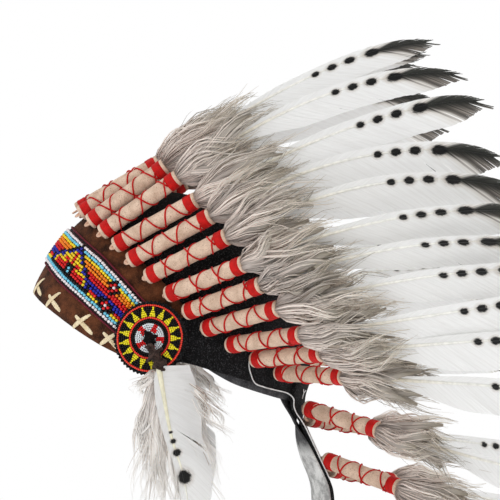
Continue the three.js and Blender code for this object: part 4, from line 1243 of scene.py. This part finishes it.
# down, rear, half width, bow
TRAIL_PATH = ((10, 0.5, 37, -9), (22, -1.2, 33.5, 0), (37, -2, 31, 8), (51, 1, 31, 11.5), (66, 7, 31, 12.5),
              (77, 9.6, 31, 13), (98, 10.5, 31, 13), (117, 11, 29, 12))
LINING_TOP = ((16, -3.4, 35, -4), (23, -3.0, 33.3, -0.8), (37, -2.4, 31, 7.6), (51, 1, 31, 11.5))
TRAIL_FELT, TRAIL_LINING = 2.4, 1.4
TOP_TURN, LINING_TURN = 26, 25
FELT_BACK = TRAIL_LINING + GAP


def smooth_rows(rows, count):
    """A cubic through rows of points, evenly spaced by row number (Catmull and Rom's formula)."""
    rows = np.concatenate([2 * rows[:1] - rows[1:2], rows, 2 * rows[-1:] - rows[-2:-1]])
    x = np.linspace(0, len(rows) - 3 - 1e-9, count)
    i = x.astype(int)
    t = (x - i).reshape((-1,) + (1,) * (rows.ndim - 1))
    p0, p1, p2, p3 = rows[i], rows[i + 1], rows[i + 2], rows[i + 3]
    return 0.5 * (2 * p1 + (p2 - p0) * t + (2 * p0 - 5 * p1 + 4 * p2 - p3) * t ** 2
                  + (3 * p1 - p0 - 3 * p2 + p3) * t ** 3)


def trail_grid(back, on_cap, count=60, cols=25):
    """Rows of the table carried across: x = across·half, y = nape + rear + back + bow·across², z below the
    nape. Two more rows lie on the form: outside it for the felt (on_cap), inside it for the lining."""
    across = np.linspace(-1, 1, cols)
    if on_cap:
        out = FELT_OUT + GAP + 0.5 + back - FELT_BACK
        rows = [on_form(180 - across * TOP_TURN, height, out) for height in (17.0, 8.0)]
    else:
        rows = [on_form(180 - across * LINING_TURN, height, out + back) for height, out in ((9.0, -4.7), (0.0, -4.5))]
    for down, rear, half, bow in TRAIL_PATH if on_cap else LINING_TOP + TRAIL_PATH[4:]:
        y = NAPE[1] + rear + bow * across ** 2 + back
        rows.append(np.stack([across * half, y, np.full(cols, NAPE[2] - down)], -1))
    return smooth_rows(np.stack(rows), count)


def sheet_area(grid):
    """Half the sum of the cross products of the quads' diagonals, in square metres."""
    a = grid[1:, 1:] - grid[:-1, :-1]
    b = grid[1:, :-1] - grid[:-1, 1:]
    return float(np.linalg.norm(np.cross(a, b), axis=-1).sum() / 2 * MM * MM)


felt_grid = trail_grid(FELT_BACK + TRAIL_FELT, True)
lining_grid = trail_grid(TRAIL_LINING, False)
trail_felt = make_piece("trail_felt_dressed", [shell(felt_grid, trail_grid(FELT_BACK, True))], [felt_black],
                        ["trail_felt"])
trail_lining = make_piece("trail_lining_dressed", [shell(lining_grid, trail_grid(0.0, False))], [suede_grey],
                          ["trail_lining"])
print("trail areas:", sheet_area(felt_grid), sheet_area(lining_grid))

# %% [markdown]
# ## White thread
# A white thread is sewn along the cap's hem at the rear and down the trail's edges, with a knot whose
# ends stick out. It is given by turn and height on the form, then by the edge of the trail's surface.

# %% White thread
HEM_THREAD = ((123.7, 25.2), (124.1, 17.4), (126.4, 10.8), (130.2, 4.9), (135.5, 4.5), (142.2, 5.2), (151.6, 5.9))
KNOT_ENDS = (((163.3, 12.4), (165.4, 9.9)), ((167.6, 12.2), (165.4, 9.9)), ((165.4, 9.9), (166.2, 5.2)))


def white_thread():
    """A tube through the spots on the cap and along the trail's edge, and three short ends at the knot."""
    hem = np.array([on_form(turn, height, FELT_OUT + 0.35) for turn, height in HEM_THREAD])
    down = felt_grid[9:40:3, -1] + np.array([0.5, 0.2, 0.0])
    path = smooth_rows(np.concatenate([hem, down]), 150)
    ends = [smooth_rows(np.array([on_form(*spot, FELT_OUT + GAP + 3.4) for spot in pair]), 8) for pair in KNOT_ENDS]
    up = np.array([[0.0, 0.0, 1.0]])
    return [tubes(path[None], 0.5, 6, up)] + [tubes(e[None], 0.4, 6, ROSETTE_BACK[None]) for e in ends]


thread_sides = white_thread()
thread_sides += [mirrored(p) for p in thread_sides[:1]]
make_piece("hem_thread", thread_sides, [thread_white], ["felt_cap"])
print("white thread done")

# %% [markdown]
# ## Drops under the rosettes
# A black lump fills the hole in each rosette: black hide, with painted shade for the hole's depth and its shadow.
# A brown thong comes out of it, is knotted, and holds a small feather with a tuft of fur behind it. The small feather
# is made as the large ones are.

# %% Thong and knot
# back, down, share of the radius
THONG_PATH = np.array([(0.5, 5, 1.0), (2.6, 9, 1.5), (5.4, 13, 2.0),
                       (7.8, 17.5, 1.9), (9.2, 21.5, 1.6), (9.6, 25, 1.2)])
THONG_RADIUS = 2.6
DROP_START = rosette_spot(9.5, 27.0, FACE_OUT + THONG_RADIUS * 1.2 * 0.85)
PLUMB, REAR, ASIDE = np.array([0, 0, -1.0]), np.array([0, 1.0, 0]), np.array([1.0, 0, 0])


def thong_parts():
    """A black lump that fills the rosette's hole, with short folds round it, black hide and painted shade for the
    hole and its shadow, then the brown thong with two turns of lace round its knot."""
    spot = lambda back, down, out: rosette_spot(np.array(back, float), np.array(down, float), np.array(out, float))
    # Painted shade: the black lump and its folds stand in for the hole's depth and shadow as well as black hide.
    parts = [tubes(spot([0.2, 0, 0, 0.5, 1.5], [-5, -3, 0, 3, 6], [2.8, 3.8, 4.4, 4.4, 4.6])[None],
                   np.array([[0.8, 3.0, 4.3, 3.6, 2.6]]), 14, ASIDE[None], flat=0.6)]
    for back, down in ((6.2, -1.6), (5.0, 3.6), (-3.6, -5.6), (-4.6, 2.4), (2.4, 8.0)):
        fold = smooth_rows(spot([0, back * 0.6, back], [0, down * 0.6, down], [4.6, 5.0, 3.9]), 9)
        parts.append(tubes(fold[None], 2.3 * np.cos(1.35 * np.linspace(0, 1, 9)[None]) + 0.1, 9, ROSETTE_OUT[None]))
    rows = smooth_rows(THONG_PATH, 26)
    half = THONG_RADIUS * rows[:, 2]
    path = rosette_spot(rows[:, 0], rows[:, 1], FACE_OUT + half * 0.85)
    lumps = half * (0.8 + 0.13 * np.sin(np.linspace(0, 19, 26)))
    parts.append(tubes(path[None], lumps[None], 14, ASIDE[None], flat=0.85, mat=1))
    s = np.linspace(0, 2 * np.pi, 25)
    for centre, tilt, size in ((10, 0.7, 4.4), (13, -0.9, 5.4), (16.5, 0.6, 5.2), (20, -0.5, 4.2), (23, 0.3, 3.2)):
        k = np.interp(centre, rows[:, 1], np.arange(26)).astype(int)
        back = rows[k, 0] + size * np.cos(s)
        down = centre + size * tilt * np.cos(s)
        out = FACE_OUT + half[k] * 0.85 + size * 0.8 * np.sin(s)
        parts.append(tubes(rosette_spot(back, down, out)[None], 1.15, 7, ROSETTE_DOWN[None], mat=1))
    parts.append(tubes(spot([5, 9, 12.5, 13.5], [17, 16.5, 18, 21], [5.5, 6.5, 6.0, 4.5])[None],
                       np.array([[1.6, 2.4, 2.2, 0.8]]), 9, ASIDE[None], mat=1))
    return parts


# %% Drop feather and tuft
# back, down, leading and trailing half widths
DROP_SECTIONS = np.array([
    (0.4, -12, 2, 22), (1.1, -8.8, 2.6, 22), (2.3, -2, 4.6, 22.5), (4.4, 10, 6.4, 25.3), (6.1, 19.8, 7, 26),
    (8.7, 35, 6.4, 25.3), (10.4, 43.6, 5.8, 24), (12.0, 50.3, 5.2, 23), (14.3, 57.1, 4.9, 21.5),
    (17.6, 67, 4.8, 23.5), (20.6, 76.6, 4.8, 21.5), (23.5, 94.5, 4.7, 18.5), (25.3, 111, 4, 13),
    (26.3, 125, 1, 2)])
DROP_LENGTH = 127.0
DROP_DOTS = ((44.5, 0.9, 1.3), (51.5, 1.7, 2.1), (60.5, 2.6, 3.0), (79.5, 5.2, 5.0))


def drop_quill():
    """The quill hangs down and a little to the rear; the vane faces out from the head."""
    shares = np.linspace(-0.1, 1.0, 90)
    down = shares * 125
    back = np.interp(down, DROP_SECTIONS[:, 1], DROP_SECTIONS[:, 0])
    back = np.convolve(np.pad(back, 3, mode="reflect", reflect_type="odd"), np.ones(7) / 7, mode="valid")
    points = DROP_START + np.multiply.outer(back - 1.4, REAR) + np.multiply.outer(down, PLUMB)
    ways = unit(np.gradient(points, axis=0))
    return Quill(DROP_START, ways, REAR, 0.0, DROP_LENGTH, shares)


def drop_width(share, column):
    rows = DROP_SECTIONS
    return np.mean([np.interp((share + d) * 125, rows[:, 1], rows[:, column]) for d in (-0.015, 0, 0.015)], axis=0)


vane_drop = feather_finish("vane_drop", DROP_DOTS, 400.0)
quill_drop = feather_finish("quill_drop", DROP_DOTS, 400.0, horn=True, near_root=(0.86, 0.82, 0.62))


def drop_parts(seed):
    """The small feather: wide side to the rear, narrow side to the front."""
    rng = np.random.default_rng(seed)
    quill = drop_quill()
    parts = [vane_side(quill, 1, lambda s: drop_width(s, 3), 38, rng, 40, 7, begin=-0.045, splits=2,
                       open_=1.15, parted=((0.30, 5.0, 0.09), (0.05, 0.8, 0.03))),
             vane_side(quill, -1, lambda s: drop_width(s, 2), 26, rng, 30, 3, begin=-0.06, splits=0)]
    return parts + [quill_part(quill, -0.075, 0.98, 2.3, 0.35, 0.0, power=0.5)]


def tuft_parts(seed):
    """Groups of locks that hang behind the small feather: start back and down, lean, reach, size, and how
    full each is, and how wavy. The last is a short curl beside the knot."""
    parts = []
    groups = ((-2.5, 0, -9, 96, 7, 18, 4, 2.0), (-0.5, 2, 8, 122, 9, 18, 4, 2.2), (5.0, 3, 36, 112, 9, 15, 9, 2.6),
              (11.0, -3, 56, 64, 6, 9, 9, 2.6), (-4.0, -3, -17, 26, 3.5, 8, 9, 2.0))
    for i, (back, low, lean, reach, size, locks, body_every, wave) in enumerate(groups):
        start = DROP_START + back * REAR + low * PLUMB - (2.5 + GAP + size * 0.42) * ASIDE
        way = unit(PLUMB * reach + REAR * lean)
        line = lambda d, start=start, way=way: (
            start + d[..., None] * way,
            np.broadcast_to(REAR, d.shape + (3,)),
            np.broadcast_to(ASIDE, d.shape + (3,)),
        )
        parts += fur_parts(line, reach, 1.5, size * 0.9, locks, 9, seed + i, flat=0.3, thick=0.6,
                           body_every=body_every, wave=wave, pale=0.5, points=13)
    return parts


for side, seed in (("left", 301), ("right", 311)):
    flip = (lambda p: p) if side == "left" else mirrored
    make_piece(f"drop_thong_{side}_knot", [flip(p) for p in thong_parts()], [black_hide_and_hole_shade, thong_hide],
               [f"drop_thong_{side}"])
    make_piece(f"drop_feather_{side}_vane", [flip(p) for p in drop_parts(seed)], [vane_drop, quill_drop],
               [f"drop_feather_{side}"], crisp=50)
    make_piece(f"drop_fur_{side}_tuft", [flip(p) for p in tuft_parts(seed + 5)], [tuft_fur],
               [f"drop_fur_{side}"])
print("drops done")

# %% Sizes and finish
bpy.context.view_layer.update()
triangles = sum(len(p.vertices) - 2 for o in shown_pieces() for p in o.data.polygons)
print("triangles:", triangles)
